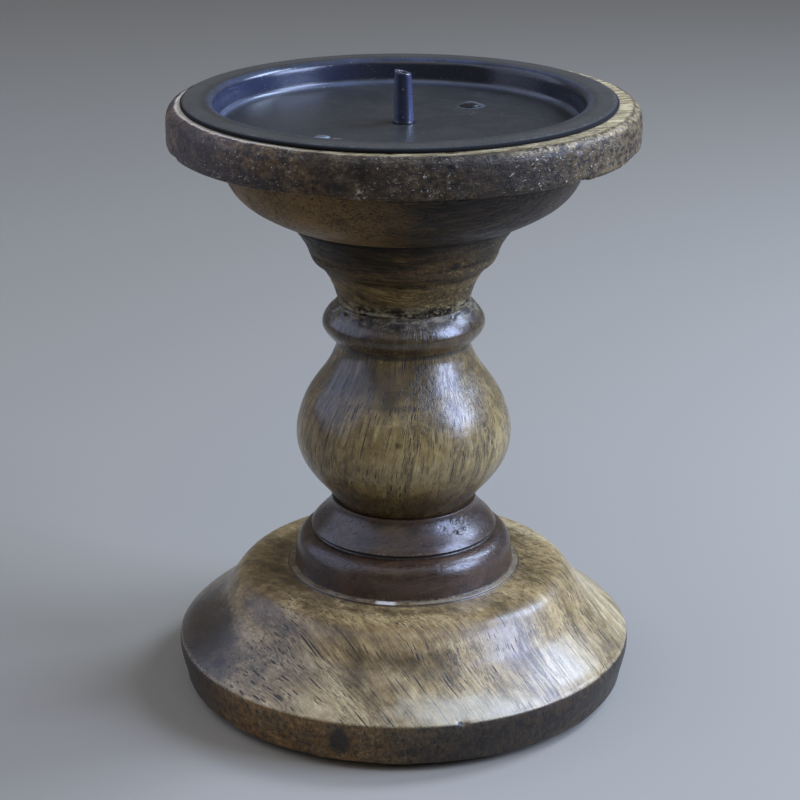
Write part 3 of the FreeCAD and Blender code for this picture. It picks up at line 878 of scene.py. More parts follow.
    def arc(self, degrees, half, soft):
        """1 where the direction from the axis is within half of degrees."""
        a = math.radians(degrees)
        dot = self.math("ADD", self.mul(self.x, math.cos(a)),
                        self.mul(self.y, math.sin(a)))
        cosv = self.math("DIVIDE", dot, self.math("MAXIMUM", self.r, 0.001))
        lo = math.cos(math.radians(min(180, half + soft)))
        hi = math.cos(math.radians(max(0, half - soft)))
        return self.span(cosv, lo, hi)

    def bump(self, height, distance, strength=1.0, normal=None):
        n = self.tree.nodes.new("ShaderNodeBump")
        n.inputs["Strength"].default_value = strength
        n.inputs["Distance"].default_value = distance
        self.link(height, n.inputs["Height"])
        if normal is not None:
            self.link(normal, n.inputs["Normal"])
        return n.outputs[0]

    def finish(self, colour, rough, normal=None, **fixed):
        b = self.bsdf.inputs
        self.put(b["Base Color"], colour)
        self.put(b["Roughness"], rough)
        if normal is not None:
            self.link(normal, b["Normal"])
        for key, value in fixed.items():
            b[key.replace("_", " ")].default_value = value
        return self.mat


def grain_turn(direction):
    """Euler angles that turn the grain's direction onto X."""
    q = Vector(direction).normalized().rotation_difference(Vector((1, 0, 0)))
    return tuple(q.to_euler("XYZ"))


def wood(name, grain, seed, tones, pore_len=14.0, pore_gap=0.9, pore_size=0.2,
         pore_dark=0.8, figure=(0.010, 0.085), contrast=1.0, mottle=0.30,
         stain=0.45, rough=0.42, bump=0.00022, marks=None, warp=3.0,
         pore_tone=None, stain_tone=None, coat=0.0, depth=1.0, level=0.5,
         coarse=None, veins=0.7, unroll=None, short=1.0,
         coat_rough=0.22, flat=None, ends=None):
    """Stained and waxed open-pored hardwood, solid all through: growth
    figure, fibres and vessels follow the grain's direction in space, so ends
    show dots and sides show dashes.  marks(g, parts) adds what is particular
    to the piece."""
    g = Graph(name)
    P0 = g.P
    if unroll:
        # the pattern is drawn partly round a cylinder of radius unroll[0], so
        # the dashes stay long where the outline leans in
        f = g.add(1.0 - unroll[1],
                  g.math("DIVIDE", unroll[0] * unroll[1],
                         g.math("MAXIMUM", g.r, 4.0)))
        comb = g.tree.nodes.new("ShaderNodeCombineXYZ")
        g.link(g.mul(g.x, f), comb.inputs[0])
        g.link(g.mul(g.y, f), comb.inputs[1])
        g.link(g.z, comb.inputs[2])
        P0 = comb.outputs[0]
    if flat:
        # pattern drawn out along Z, so that slopes show dashes and not dots
        P0 = g.move(P0, scale=(1.0, 1.0, flat))
    G = g.move(P0, rot=grain_turn(grain),
               loc=(seed * 13.7, seed * 7.3, seed * 3.1))
    drift = g.noise(g.move(G, scale=(0.014, 0.035, 0.035)), 1.0, 2, 0.5,
                    colour=True)
    W = g.vadd(G, drift, (0.0, warp * 2, warp * 2))
    small = g.noise(g.move(G, scale=(0.10, 0.30, 0.30)), 1.0, 1, 0.5, colour=True)
    W = g.vadd(W, small, (0.0, 0.9, 0.9))
    fig = g.noise(g.move(W, scale=(figure[0], figure[1], figure[1])), 1.0, 5,
                  0.62, 0.4)
    mid = g.noise(g.move(W, scale=(0.035 * short, 0.55, 0.55)), 1.0, 3, 0.6)
    fine = g.noise(g.move(W, scale=(0.09 * short, 2.3, 2.3)), 1.0, 3, 0.65)
    hair = g.noise(g.move(W, scale=(0.35 * short, 4.6, 4.6)), 1.0, 2, 0.6)
    grime = g.noise(g.P, 0.34, 5, 0.72, 0.3)
    speckle = g.noise(g.P, 1.9, 4, 0.75)
    spread = g.noise(g.move(G, scale=(0.02, 0.07, 0.07)), 1.0, 2, 0.5)
    size = g.span(spread, 0.32, 0.66, pore_size * 0.72, pore_size * 1.25)
    if coarse:
        size = g.mul(size, g.add(1.0, g.mul(g.arc(*coarse), 0.16)))
    if ends:
        # where the grain ends meet the surface the vessels are fine dots
        at_ends = g.arc(*ends)
        size = g.mul(size, g.inv(g.mul(at_ends, 0.30)))
    pore = None
    for k, (at, along, across, keep) in enumerate((
            ((0, 0, 0), 1.0, 1.0, 1.0), ((31, 17, 5), 1.7, 1.35, 0.9),
            ((11, 47, 23), 0.8, 1.9, 0.7))):
        d, cell = g.cells(g.move(g.move(W, loc=at),
                                 scale=(along / pore_len, across / pore_gap,
                                        across / pore_gap)))
        one = g.mul(g.span(g.math("DIVIDE", d, size), 1.08, 0.74), keep)
        pore = one if pore is None else g.math("MAXIMUM", pore, one)
    pores = g.mul(pore, g.span(hair, 0.30, 0.44, 0.72, 1.0))
    # long fine vessel lines
    vein = None
    for sx, sy, w in ((0.026, 0.46, 0.044), (0.045, 0.80, 0.056)):
        n = g.noise(g.move(W, scale=(sx, sy, sy), loc=(3.0, 50 * sx, 7.0)), 1.0, 2,
                    0.5)
        one = g.span(g.math("ABSOLUTE", g.add(n, -0.5)), w, w * 0.45)
        vein = one if vein is None else g.math("MAXIMUM", vein, one)
    patch = g.noise(g.move(G, scale=(0.03, 0.12, 0.12), loc=(9, 9, 9)), 1.0, 3, 0.6)
    vein = g.mul(vein, g.span(hair, 0.36, 0.52, 0.15, 1.0),
                 g.span(patch, 0.40, 0.56, 0.30, 1.0), veins)
    pores = g.math("MAXIMUM", pores, vein)
    if ends:
        pores = g.mul(pores, g.inv(g.mul(at_ends, 0.40)))

    tone = g.add(0.5, g.mul(g.add(fig, -0.5), 1.0 * contrast),
                 g.mul(g.add(mid, -0.5), 0.45 * contrast),
                 g.mul(g.add(fine, -0.5), 0.35 * contrast),
                 g.mul(g.add(grime, -0.5), 0.9 * mottle))
    colour = g.ramp(tone, tones)
    light = g.add(1.0, g.mul(g.add(hair, -0.5), 0.40 * contrast),
                  g.mul(g.add(speckle, -0.5), 1.7 * mottle),
                  g.mul(g.add(grime, -0.5), 0.9 * mottle))
    colour = g.shade(colour, light)
    dark = pore_tone or srgb(34, 25, 17)
    fleck = g.noise(g.move(W, scale=(0.55, 1.9, 1.9)), 1.0, 4, 0.8)
    colour = g.stain(g.mul(g.span(fleck, 0.57, 0.70), min(1.0, 1.05 * mottle)),
                     colour, 0.36, 0.31, 0.25)
    colour = g.mix(g.mul(pores, pore_dark), colour, dark)
    blotch = g.noise(g.P, 0.055, 7, 0.68, 0.7)
    dirt = g.mul(g.span(blotch, 0.50, 0.66), g.span(speckle, 0.30, 0.60, 0.6, 1.0))
    colour = g.stain(g.mul(dirt, stain), colour, *(stain_tone or (0.20, 0.17, 0.14)))

    gloss = g.add(rough, g.mul(g.add(fine, -0.5), 0.22),
                  g.mul(g.add(speckle, -0.5), 0.22), g.mul(pores, 0.24),
                  g.mul(g.add(grime, -0.5), 0.26))
    height = g.add(g.mul(pores, -1.0 * depth), g.mul(fine, 0.55 * depth),
                   g.mul(hair, 0.22 * depth), g.mul(speckle, 0.20),
                   g.mul(grime, 0.35))
    parts = {"colour": colour, "rough": gloss, "height": height, "fig": fig,
             "fine": fine, "hair": hair, "pores": pores, "blotch": blotch,
             "speckle": speckle, "fleck": fleck, "grime": grime, "mid": mid, "G": G, "W": W}
    if marks is not None:
        marks(g, parts)
    normal = g.bump(parts["height"], bump)
    fixed = {"Specular_IOR_Level": level}
    if coat:
        fixed.update(Coat_Weight=coat, Coat_Roughness=coat_rough)
    return g.finish(parts["colour"], g.math("MINIMUM", g.math(
        "MAXIMUM", parts["rough"], 0.16), 0.95), normal, **fixed)


def base_marks(g, p):
    c, z, r = p["colour"], g.z, g.r
    wob = g.noise(g.P, 0.16, 5, 0.7, 0.5)
    # long rubbed streaks of the grain on the slope, paler low down
    rub = g.span(g.add(g.mul(p["fine"], 0.5), g.mul(p["fig"], 0.5)), 0.42, 0.64)
    pale = g.mul(rub, g.span(z, 13.4, 14.6), g.span(z, 29.0, 18.0),
                 g.inv(g.mul(p["pores"], 0.8)))
    c = g.mix(g.mul(pale, 0.34), c, srgb(210, 194, 152))
    # pale zone low at the right of the front: paler wood with a painted highlight over it
    zone = g.blob((16, -54, 15.0), (27, 12, 5.2), 0.25, wob)
    c = g.mix(g.mul(zone, g.add(0.26, g.mul(p["grime"], 0.55))), c,
              srgb(214, 206, 180))
    # pale lip where the slope turns over into the top
    lip = g.mul(g.band(z, 28.0, 31.4, 1.2), g.span(p["grime"], 0.30, 0.62))
    c = g.mix(g.mul(lip, 0.28), c, srgb(166, 140, 92))
    # dark rubbed-in stain: the front of the hollow and a streak; the left side is also
    # darkened with painted shade
    spots = (((2, -47, 25.0), (20, 10, 3.6), 0.46), ((-12.0, -48, 22.0), (4.2, 9, 8), 0.55),
             ((8.0, -48, 22.5), (11, 8, 3.2), 0.42), ((-30, -36, 28), (10, 10, 2.6), 0.40),
             ((30, -40, 22), (9, 9, 3), 0.30), ((-8, -54, 18.5), (5, 6, 3), 0.34),
             ((40, 30, 22), (16, 14, 5), 0.45), ((-30, 44, 20), (14, 12, 6), 0.5))
    for at, rad, amount in spots:
        c = g.stain(g.mul(g.blob(at, rad, 0.15, wob), min(1, amount * 1.45)), c,
                    0.22, 0.19, 0.16)
    # painted shade: the whole left side of the base is multiplied much darker
    c = g.stain(g.mul(g.blob((-54, -12, 17), (27, 42, 16), 0.35, wob), 0.98), c,
                0.10, 0.085, 0.09)
    c = g.stain(g.mul(g.blob((-38, -26, 29), (16, 20, 5), 0.20, wob), 0.8), c,
                0.34, 0.30, 0.26)
    c = g.stain(g.mul(g.blob((-34, -8, 31), (14, 26, 3), 0.30, wob), 0.6), c,
                0.50, 0.44, 0.36)
    c = g.stain(g.mul(g.band(z, 28.4, 31.4, 1.0), g.arc(-88, 34, 16), 0.7), c,
                0.66, 0.60, 0.52)
    # painted shade: more grey darkening on the front left
    c = g.stain(g.mul(g.blob((-32, -44, 20), (17, 15, 9), 0.30, wob), 0.7), c,
                0.54, 0.51, 0.49)
    c = g.stain(g.mul(g.blob((-47, -24, 18), (13, 16, 7), 0.30, wob), 0.9), c,
                0.72, 0.71, 0.71)
    # painted shade darkens the top face towards the ring, less at the right; the ring itself
    # is pale
    c = g.stain(g.mul(g.band(r, 30.2, 35.0, 1.4), g.span(z, 31.0, 31.8),
                      g.span(wob, 0.30, 0.60), 0.8,
                      g.inv(g.mul(g.arc(-22, 34, 22), 0.72))), c, 0.34, 0.30, 0.23)
    c = g.stain(g.span(z, 32.0, 32.2), c, 0.40, 0.36, 0.32)
    c = g.mix(g.mul(g.span(z, 32.38, 32.56), g.span(wob, 0.40, 0.56), 0.5), c,
              srgb(158, 146, 122))
    # painted highlight: a bright dash on the front of the ring
    ring_glint = g.mul(g.span(z, 32.2, 32.5), g.arc(-99, 4.5, 1.5))
    c = g.mix(g.mul(ring_glint, 0.85), c, srgb(226, 220, 204))
    # painted shade: a black line in the corner under the ring
    c = g.mix(g.mul(g.band(r, 30.0, 30.35, 0.12), g.span(z, 31.5, 31.9), 0.8),
              c, srgb(26, 20, 14))
    # the band is darker than the slope, golden at the left, black-brown right
    band = g.span(z, 13.7, 13.0)
    lines = g.noise(g.move(g.P, scale=(0.12, 0.12, 1.3)), 1.0, 4, 0.65)
    bandtone = g.mix(g.arc(-130, 26, 22), srgb(40, 30, 18), srgb(146, 102, 38))
    bandtone = g.mix(g.mul(g.arc(-70, 60, 10), g.span(wob, 0.46, 0.62)),
                     bandtone, srgb(98, 76, 40))
    curd = g.noise(g.move(g.P, scale=(0.75, 0.75, 0.5)), 1.0, 4, 0.75)
    bandmix = g.shade(g.mix(0.66, c, bandtone),
                      g.add(-1.62, g.mul(lines, 1.15), g.mul(curd, 3.0),
                            g.mul(p["speckle"], 0.50)))
    c = g.mix(band, c, bandmix)
    c = g.mix(g.mul(g.blob((-16, -56.5, 8.2), (3.9, 4, 6.4), 0.45, wob), 0.85), c,
              srgb(22, 18, 14))
    for at, rad in (((20, -55, 5.5), (4, 3, 2.6)), ((36, -46, 9), (5, 6, 3)),
                    ((2, -58, 6), (5, 3, 2))):
        c = g.mix(g.mul(g.blob(at, rad, 0.3, wob), 0.6), c, srgb(26, 22, 18))
    tick = g.noise(g.move(g.P, scale=(1.4, 1.4, 0.8)), 1.0, 3, 0.8)
    c = g.mix(g.mul(band, g.span(tick, 0.63, 0.72), g.arc(-62, 32, 12), 0.75), c,
              srgb(190, 182, 160))
    # worn edge of the band
    edge = g.band(z, 13.2, 14.0, 0.3)
    c = g.mix(g.mul(edge, g.span(p["speckle"], 0.42, 0.62), 0.55), c,
              srgb(186, 172, 134))
    chip = g.blob((14.8, -57.2, 13.7), (2.2, 3, 1.2), 0.5, wob)
    c = g.mix(g.mul(chip, 0.7), c, srgb(206, 192, 160))
    c = g.mix(g.mul(g.blob((13.6, -57.0, 13.2), (0.9, 2, 0.8), 0.5), 0.85), c,
              srgb(28, 22, 17))
    p["colour"] = c
    c = g.stain(g.mul(band, g.arc(-30, 55, 20), 0.97), c, 0.16, 0.118, 0.045)
    c = g.mix(g.mul(band, g.arc(-40, 34, 16), g.span(curd, 0.47, 0.60), 0.26), c,
              srgb(86, 64, 34))
    c = g.stain(g.mul(band, g.arc(180, 36, 16), 0.94), c, 0.14, 0.12, 0.09)
    c = g.stain(g.mul(band, g.arc(-132, 30, 18), 0.5), c, 0.50, 0.44, 0.34)
    p["colour"] = c
    p["rough"] = g.add(p["rough"], g.mul(band, 0.36))
    p["height"] = g.add(p["height"], g.mul(band, lines, 1.0))


def foot_marks(g, p):
    c = p["colour"]
    wob = g.noise(g.P, 0.9, 4, 0.7)
    wide = g.noise(g.P, 0.12, 4, 0.65, 0.6)
    c = g.mix(g.mul(g.span(wide, 0.44, 0.62), 0.45), c, srgb(82, 58, 36))
    # painted shade darkens the groove; pale polish at its upper edge and at the corner at the
    # bottom
    c = g.mix(g.mul(g.band(g.z, 41.9, 43.0, 0.25), 0.75), c, srgb(20, 14, 11))
    wax = g.mul(g.band(g.z, 43.1, 43.6, 0.22), g.span(wob, 0.50, 0.68))
    c = g.mix(g.mul(wax, 0.35), c, srgb(140, 130, 118))
    bottom = g.mul(g.span(g.z, 33.2, 32.7), g.span(wob, 0.44, 0.60))
    c = g.mix(g.mul(bottom, 0.45), c, srgb(150, 140, 122))
    grit = g.noise(g.P, 1.15, 3, 0.75)
    pits = g.mul(g.blob((14.0, -14.6, 47.4), (6.5, 6, 2.8), 0.4),
                 g.span(grit, 0.54, 0.62))
    few = g.mul(g.span(g.noise(g.P, 1.7, 2, 0.6), 0.68, 0.74), 0.6)
    pits = g.math("MAXIMUM", pits, few)
    c = g.mix(g.mul(pits, 0.85), c, srgb(16, 12, 10))
    p["colour"] = c
    p["height"] = g.add(p["height"], g.mul(pits, -1.6), g.mul(wide, 0.8))


def stem_marks(g, p):
    c = p["colour"]
    wob = g.noise(g.P, 0.15, 6, 0.7, 0.6)
    # the bead is dark, like the foot; painted shade darkens the crease under it
    bead = g.span(g.z, 92.8, 94.2)
    c = g.mix(g.mul(bead, 0.62), c, srgb(50, 35, 25))
    low = g.mul(g.band(g.z, 94.0, 97.2, 0.8), g.span(wob, 0.34, 0.6))
    c = g.mix(g.mul(low, 0.55), c, srgb(112, 80, 38))
    c = g.mix(g.mul(g.band(g.z, 92.5, 93.7, 0.35), 0.7), c, srgb(22, 16, 11))
    # stain smudged down from the bead over the bulb's shoulder
    top = g.mul(g.span(g.z, 74.0, 90.0), g.span(wob, 0.36, 0.58))
    top = g.mul(top, g.inv(g.mul(g.arc(-40, 28, 18), 0.45)))
    c = g.stain(g.mul(top, 0.90), c, 0.28, 0.25, 0.23)
    spots = (((-2.0, -20.0, 86.5), (14, 9, 7.5), 0.85),
             ((-4.0, -21.5, 83.5), (3.2, 6, 7.5), 0.85), ((2.5, -17.5, 91.0), (4, 5, 3), 0.7),
             ((-1.4, -26.8, 73.9), (1.3, 3, 1.0), 0.7), ((-1.0, -22, 82.0), (12, 8, 1.1), 0.6),
             ((-17, -13, 86), (9, 9, 8), 0.75), ((-20, -14, 78), (8, 8, 6), 0.7),
             ((18, 15, 80), (10, 10, 8), 0.7), ((-10, 22, 72), (8, 8, 7), 0.7),
             ((9, -24, 79), (7, 6, 3), 0.5))
    for at, rad, amount in spots:
        c = g.stain(g.mul(g.blob(at, rad, 0.15, wob), amount), c, 0.24, 0.21,
                    0.20)
    # the bulb is made darker towards its bottom
    low = g.mul(g.span(g.z, 66.0, 53.0), g.add(0.35, g.mul(wob, 0.9)))
    c = g.stain(g.math("MINIMUM", low, 1.0), c, 0.20, 0.155, 0.10)
    # rubbed lighter at the widest part
    c = g.mix(g.mul(g.band(g.z, 63, 76, 4.0),
                    g.span(g.add(g.mul(p["fine"], 0.5), g.mul(p["mid"], 0.5)),
                           0.46, 0.60), 0.30), c, srgb(168, 146, 96))
    # filler and dirt in the joint on top of the bead
    joint = g.span(g.add(g.z, g.mul(wob, 2.0)), 101.4, 102.8)
    rough = g.noise(g.move(g.P, scale=(0.22, 0.22, 0.62)), 1.0, 6, 0.78)
    c = g.mix(g.mul(joint, g.span(rough, 0.52, 0.60), 0.85), c, srgb(20, 16, 12))
    c = g.mix(g.mul(joint, g.span(rough, 0.52, 0.44), 0.60), c,
              srgb(132, 122, 96))
    p["colour"] = c
    p["rough"] = g.add(p["rough"], g.mul(bead, -0.10), g.mul(joint, 0.28))
    p["height"] = g.add(p["height"], g.mul(joint, rough, 2.2))


def neck_marks(g, p):
    c = p["colour"]
    wob = g.noise(g.P, 0.2, 5, 0.7, 0.5)
    collar = g.span(g.z, 112.6, 115.0)
    rings = g.noise(g.move(g.P, scale=(0.05, 0.05, 0.85)), 1.0, 4, 0.7, 0.2)
    c = g.stain(g.mul(collar, g.span(rings, 0.36, 0.60, 0.92, 0.55)), c, 0.13,
                0.11, 0.085)
    c = g.stain(g.band(g.z, 112.4, 113.6, 0.5), c, 0.22, 0.19, 0.15)
    glow = g.mul(g.band(g.z, 114, 122, 1.5), g.arc(-84, 18, 14),
                 g.span(rings, 0.48, 0.58), g.span(wob, 0.38, 0.58))
    c = g.mix(g.mul(glow, 0.40), c, srgb(98, 70, 36))
    # worn light places on the roll, most at the right
    worn = g.mul(g.band(g.z, 114.4, 117.0, 0.6), g.span(p["speckle"], 0.46, 0.60),
                 g.add(0.25, g.arc(-36, 22, 10)))
    c = g.mix(g.mul(worn, 0.5), c, srgb(150, 128, 88))
    knot = g.blob((12.6, -21.0, 118.2), (1.7, 3, 1.4), 0.35, wob)
    halo = g.blob((12.6, -21.0, 118.2), (3.0, 4, 2.3), 0.5, wob)
    c = g.mix(g.mul(halo, g.inv(knot), 0.18), c, srgb(112, 86, 48))
    c = g.mix(g.mul(knot, 0.8), c, srgb(20, 15, 10))
    # painted shade: the upper edge, tucked under the bowl, is darkened
    c = g.stain(g.span(g.z, 121.5, 124.6), c, 0.40, 0.36, 0.32)
    c = g.stain(g.mul(g.arc(-140, 36, 24), g.span(g.z, 117.5, 120.0)), c, 0.42,
                0.40, 0.38)
    c = g.mix(g.mul(g.inv(collar), g.span(p["grime"], 0.46, 0.62), 0.30), c,
              srgb(122, 106, 66))
    joint = g.span(g.z, 107.0, 104.8)
    rough = g.noise(g.move(g.P, scale=(0.24, 0.24, 0.60)), 1.0, 6, 0.78)
    pit = g.mul(g.arc(-58, 16, 8), g.span(g.z, 106.4, 105.0))
    c = g.mix(g.mul(joint, 0.35), c, srgb(62, 54, 42))
    c = g.mix(g.mul(joint, g.span(rough, 0.53, 0.60), 0.9), c, srgb(16, 13, 10))
    filler = g.mul(g.span(g.z, 107.0, 105.2), g.span(rough, 0.54, 0.46))
    c = g.mix(g.mul(filler, 0.62), c, srgb(152, 144, 112))
    c = g.stain(g.mul(pit, g.span(g.noise(g.P, 0.8, 3, 0.7), 0.44, 0.52)), c, 0.08,
                0.07, 0.06)
    line = g.mul(g.band(g.z, 103.8, 104.5, 0.3), g.arc(-128, 24, 10),
                 g.span(g.noise(g.P, 0.9, 3, 0.7), 0.40, 0.56))
    c = g.mix(g.mul(line, 0.62), c, srgb(178, 170, 148))
    p["colour"] = c
    p["rough"] = g.add(p["rough"], g.mul(joint, 0.28))
    p["height"] = g.add(p["height"], g.mul(joint, rough, 2.8),
                        g.mul(knot, -1.2))


def cup_marks(g, p):
    c, z, r = p["colour"], g.z, g.r
    wob = g.noise(g.P, 0.12, 6, 0.7, 0.5)
    grit = g.noise(g.P, 1.1, 4, 0.78)
    lump = g.noise(g.P, 0.42, 4, 0.65, 0.4)
    # bowl: golden at the left, dark in the middle, darker still at the right
    c = g.stain(g.mul(g.arc(-52, 50, 24), g.span(z, 144, 142), 0.9), c,
                0.30, 0.27, 0.22)
    c = g.mix(g.mul(g.arc(-128, 30, 22), g.span(z, 144, 142),
                    g.span(p["fine"], 0.40, 0.62), 0.42), c, srgb(172, 132, 70))
    c = g.mix(g.mul(p["pores"], g.span(z, 144, 142), 0.7), c, srgb(20, 14, 8))
    c = g.mix(g.mul(g.arc(-134, 30, 22), g.span(z, 144, 142), 0.62,
                    g.inv(g.mul(p["pores"], 0.8))), c, srgb(160, 124, 70))
    rim = g.span(z, 143.7, 144.4)
    # the rim's side: heavy black-brown stain over the grain
    blot = g.noise(g.move(g.P, scale=(0.13, 0.13, 0.24), loc=(4, 9, 2)), 1.0, 8,
                   0.74, 0.6)
    curd = g.noise(g.move(g.P, scale=(0.62, 0.62, 0.80), loc=(1, 5, 3)), 1.0, 4, 0.7)
    side = g.ramp(g.add(g.mul(blot, 0.50), g.mul(curd, 0.30), g.mul(grit, 0.20)),
                  [(0.43, srgb(12, 10, 8)), (0.48, srgb(30, 25, 19)),
                   (0.54, srgb(58, 49, 38)), (0.62, srgb(112, 99, 78))])
    side = g.mix(0.15, side, c)
    warm = g.noise(g.P, 0.06, 4, 0.7, 0.6)
    side = g.mix(g.mul(g.span(warm, 0.46, 0.60), g.span(curd, 0.42, 0.56), 0.42),
                 side, srgb(104, 80, 44))
    black = g.noise(g.move(g.P, loc=(7, 1, 4)), 0.10, 5, 0.75, 0.5)
    side = g.stain(g.mul(g.span(black, 0.54, 0.62), 0.75), side, 0.30, 0.28, 0.26)
    # lighter golden brown at the right front, partly wood showing and partly painted light
    side = g.mix(g.mul(g.arc(-24, 26, 16), g.span(curd, 0.40, 0.58), 0.40), side,
                 srgb(132, 112, 74))
    # painted light: the rim's side is made brighter towards the right and the front left,
    # darkest at the front
    side = g.shade(side, g.add(0.68, g.mul(g.arc(-2, 36, 30), 0.55),
                               g.mul(g.arc(-142, 38, 24), 1.30)))
    # painted sheen: a bluish-grey tint at the left
    side = g.mix(g.mul(g.arc(-160, 24, 20), 0.15), side, srgb(124, 122, 142))
    c = g.mix(rim, c, side)
    # painted shade in the corner where bowl and rim meet
    c = g.mix(g.mul(g.band(z, 142.2, 144.4, 0.8), g.span(r, 47.5, 46.2), 0.7), c,
              srgb(22, 17, 12))
    # top face: stain rubbed off down to pale wood with dark open grain
    top = g.mul(g.span(z, 153.3, 153.6), g.span(r, 52.0, 53.0),
                g.span(g.add(r, g.mul(wob, 1.6)), 57.2, 56.3),
                g.span(g.arc(-92, 46, 22), 0.0, 1.0, 1.0, 0.66))
    bare = g.mix(g.span(g.add(g.mul(p["fine"], 0.6), g.mul(p["mid"], 0.4)),
                        0.38, 0.58), srgb(128, 106, 66), srgb(224, 206, 156))
    bare = g.mix(g.mul(p["pores"], 0.8), bare, srgb(44, 33, 22))
    bare = g.mix(g.mul(g.arc(180, 56, 20), 0.9), bare, srgb(250, 234, 212))
    hold = g.span(g.noise(g.P, 0.30, 5, 0.75), 0.26, 0.42)
    c = g.mix(g.mul(top, hold), c, bare)
    # the outer shoulder is worn in places, most at the right front
    shoulder = g.band(z, 152.9, 154.0, 0.35)
    wear = g.mul(g.span(lump, 0.40, 0.60), g.span(grit, 0.36, 0.60, 0.35, 1.0))
    front = g.arc(-30, 30, 14)
    c = g.mix(g.mul(shoulder, wear, g.add(0.14, g.mul(front, 0.80))), c,
              srgb(178, 158, 116))
    white = g.mul(g.band(z, 153.2, 153.8, 0.22), front, g.span(lump, 0.46, 0.58),
                  g.span(grit, 0.50, 0.62))
    c = g.mix(g.mul(white, 0.4), c, srgb(214, 204, 178))
    # clusters of small scratches and specks on the side
    speck = g.span(g.noise(g.P, 1.25, 2, 0.8), 0.635, 0.69)
    scr = None
    for turn, at in ((0.6, 3.0), (-0.9, 8.0), (1.5, 15.0)):
        one = g.span(g.noise(g.move(g.P, scale=(0.5, 0.5, 2.6),
                                    rot=(turn, turn * 0.5, 0), loc=(at, at, at)),
                             1.0, 2, 0.75), 0.685, 0.72)
        scr = one if scr is None else g.math("MAXIMUM", scr, one)
    speck = g.math("MAXIMUM", speck, scr)
    zone = g.math("MAXIMUM", g.arc(-131, 12, 9), g.arc(-50, 13, 9))
    zone = g.math("MAXIMUM", zone, g.mul(g.arc(-88, 9, 6), 0.6))
    zone = g.math("MAXIMUM", zone, g.mul(g.arc(60, 30, 20), 0.6))
    zone = g.mul(g.add(zone, 0.04), g.span(blot, 0.40, 0.52, 0.30, 1.0))
    c = g.mix(g.mul(speck, zone, g.span(z, 144.2, 145.2), rim, 0.95), c,
              srgb(226, 221, 208))
    # pale knocks on the lower edge, and chips
    low = g.mul(g.band(z, 144.2, 145.6, 0.4), g.span(grit, 0.60, 0.68), rim)
    c = g.mix(g.mul(low, 0.32), c, srgb(166, 154, 132))
    for at, rad in (((8.0, -58.2, 145.6), (2.2, 3, 1.6)),
                    ((10.0, -58.0, 147.6), (0.7, 2, 1.6)),
                    ((-9.5, -57.7, 145.6), (1.8, 3, 1.6)),
                    ((40.5, -42.6, 151.8), (1.6, 2, 1.0))):
        spot = g.mul(g.blob(at, rad, 0.4, wob), g.span(grit, 0.50, 0.60))
        c = g.mix(g.mul(spot, 0.75), c, srgb(196, 190, 174))
    c = g.mix(g.mul(g.blob((10.3, -58.0, 151.9), (1.6, 2, 1.3), 0.4, wob), 0.85),
              c, srgb(16, 13, 11))
    # a crack at the right: a black line with a pale splinter beside it
    for a, b in zip(CRACK[:-1], CRACK[1:]):
        mid = tuple((u + v) / 2 for u, v in zip(a, b))
        half = max(0.6, math.dist(a, b) / 2)
        c = g.mix(g.mul(g.blob(mid, (0.8, 0.8, half * 1.05), 0.55), 0.85), c,
                  srgb(14, 11, 9))
    c = g.mix(g.mul(g.blob((53.9, -24.6, 149.0), (0.8, 1.0, 1.3), 0.4), 0.8), c,
              srgb(230, 224, 206))
    # recess under the pan is plain dark stain
    c = g.mix(g.span(r, 50.2, 49.4), c, g.shade(c, 0.7))
    p["colour"] = c
    p["rough"] = g.add(p["rough"], g.mul(rim, g.add(grit, -0.42), 0.5),
                       g.mul(top, 0.14), g.mul(speck, zone, 0.2))
    p["height"] = g.add(g.mul(p["height"], g.inv(g.mul(rim, 0.6))),
                        g.mul(rim, grit, 0.9), g.mul(rim, lump, 1.8),
                        g.mul(rim, speck, zone, -0.8))


TAN = [(0.24, srgb(80, 63, 36)), (0.41, srgb(131, 109, 68)),
       (0.56, srgb(172, 147, 99)), (0.74, srgb(218, 198, 150))]
GOLD = [(0.24, srgb(76, 61, 34)), (0.42, srgb(114, 94, 55)),
        (0.58, srgb(148, 127, 79)), (0.76, srgb(188, 166, 112))]
DARK = [(0.22, srgb(28, 19, 12)), (0.46, srgb(50, 35, 23)),
        (0.62, srgb(70, 50, 33)), (0.80, srgb(98, 73, 49))]
OLIVE = [(0.22, srgb(47, 36, 20)), (0.44, srgb(92, 74, 40)),
         (0.60, srgb(130, 106, 61)), (0.78, srgb(168, 142, 90))]
AMBER = [(0.22, srgb(34, 25, 13)), (0.42, srgb(72, 53, 27)),
         (0.58, srgb(108, 82, 44)), (0.78, srgb(150, 120, 70))]

wood_base = wood("wood_base", (0.612, -0.612, -0.21), 3.0, TAN, pore_len=30,
                 pore_gap=0.95, pore_size=0.188, pore_dark=1.0, flat=0.42,
                 figure=(0.008, 0.07), contrast=0.70, mottle=0.50, stain=0.40,
                 rough=0.36, marks=base_marks, coat=0.32, bump=0.00003,
                 short=3.4, coat_rough=0.27,
                 coarse=(-112, 24, 18), veins=0.55, ends=(-172, 26, 16),
                 pore_tone=srgb(28, 19, 10))
wood_foot = wood("wood_foot", (0.95, 0.2, 0.1), 5.0, DARK, pore_len=12,
                 pore_gap=1.1, pore_size=0.16, pore_dark=0.7, mottle=0.30,
                 stain=0.30, rough=0.31, bump=0.00006, marks=foot_marks,
                 coat=0.30, veins=0.4)
wood_stem = wood("wood_stem", (0.14, 0.02, 0.99), 7.0, GOLD, pore_len=24,
                 pore_gap=1.05, pore_size=0.170, pore_dark=1.0, figure=(0.012, 0.09),
                 contrast=0.52, mottle=0.54, stain=0.30, rough=0.31,
                 marks=stem_marks, coat=0.50, bump=0.00007,
                 veins=0.55, pore_tone=srgb(32, 22, 12), unroll=(26.0, 0.6),
                 short=3.0)
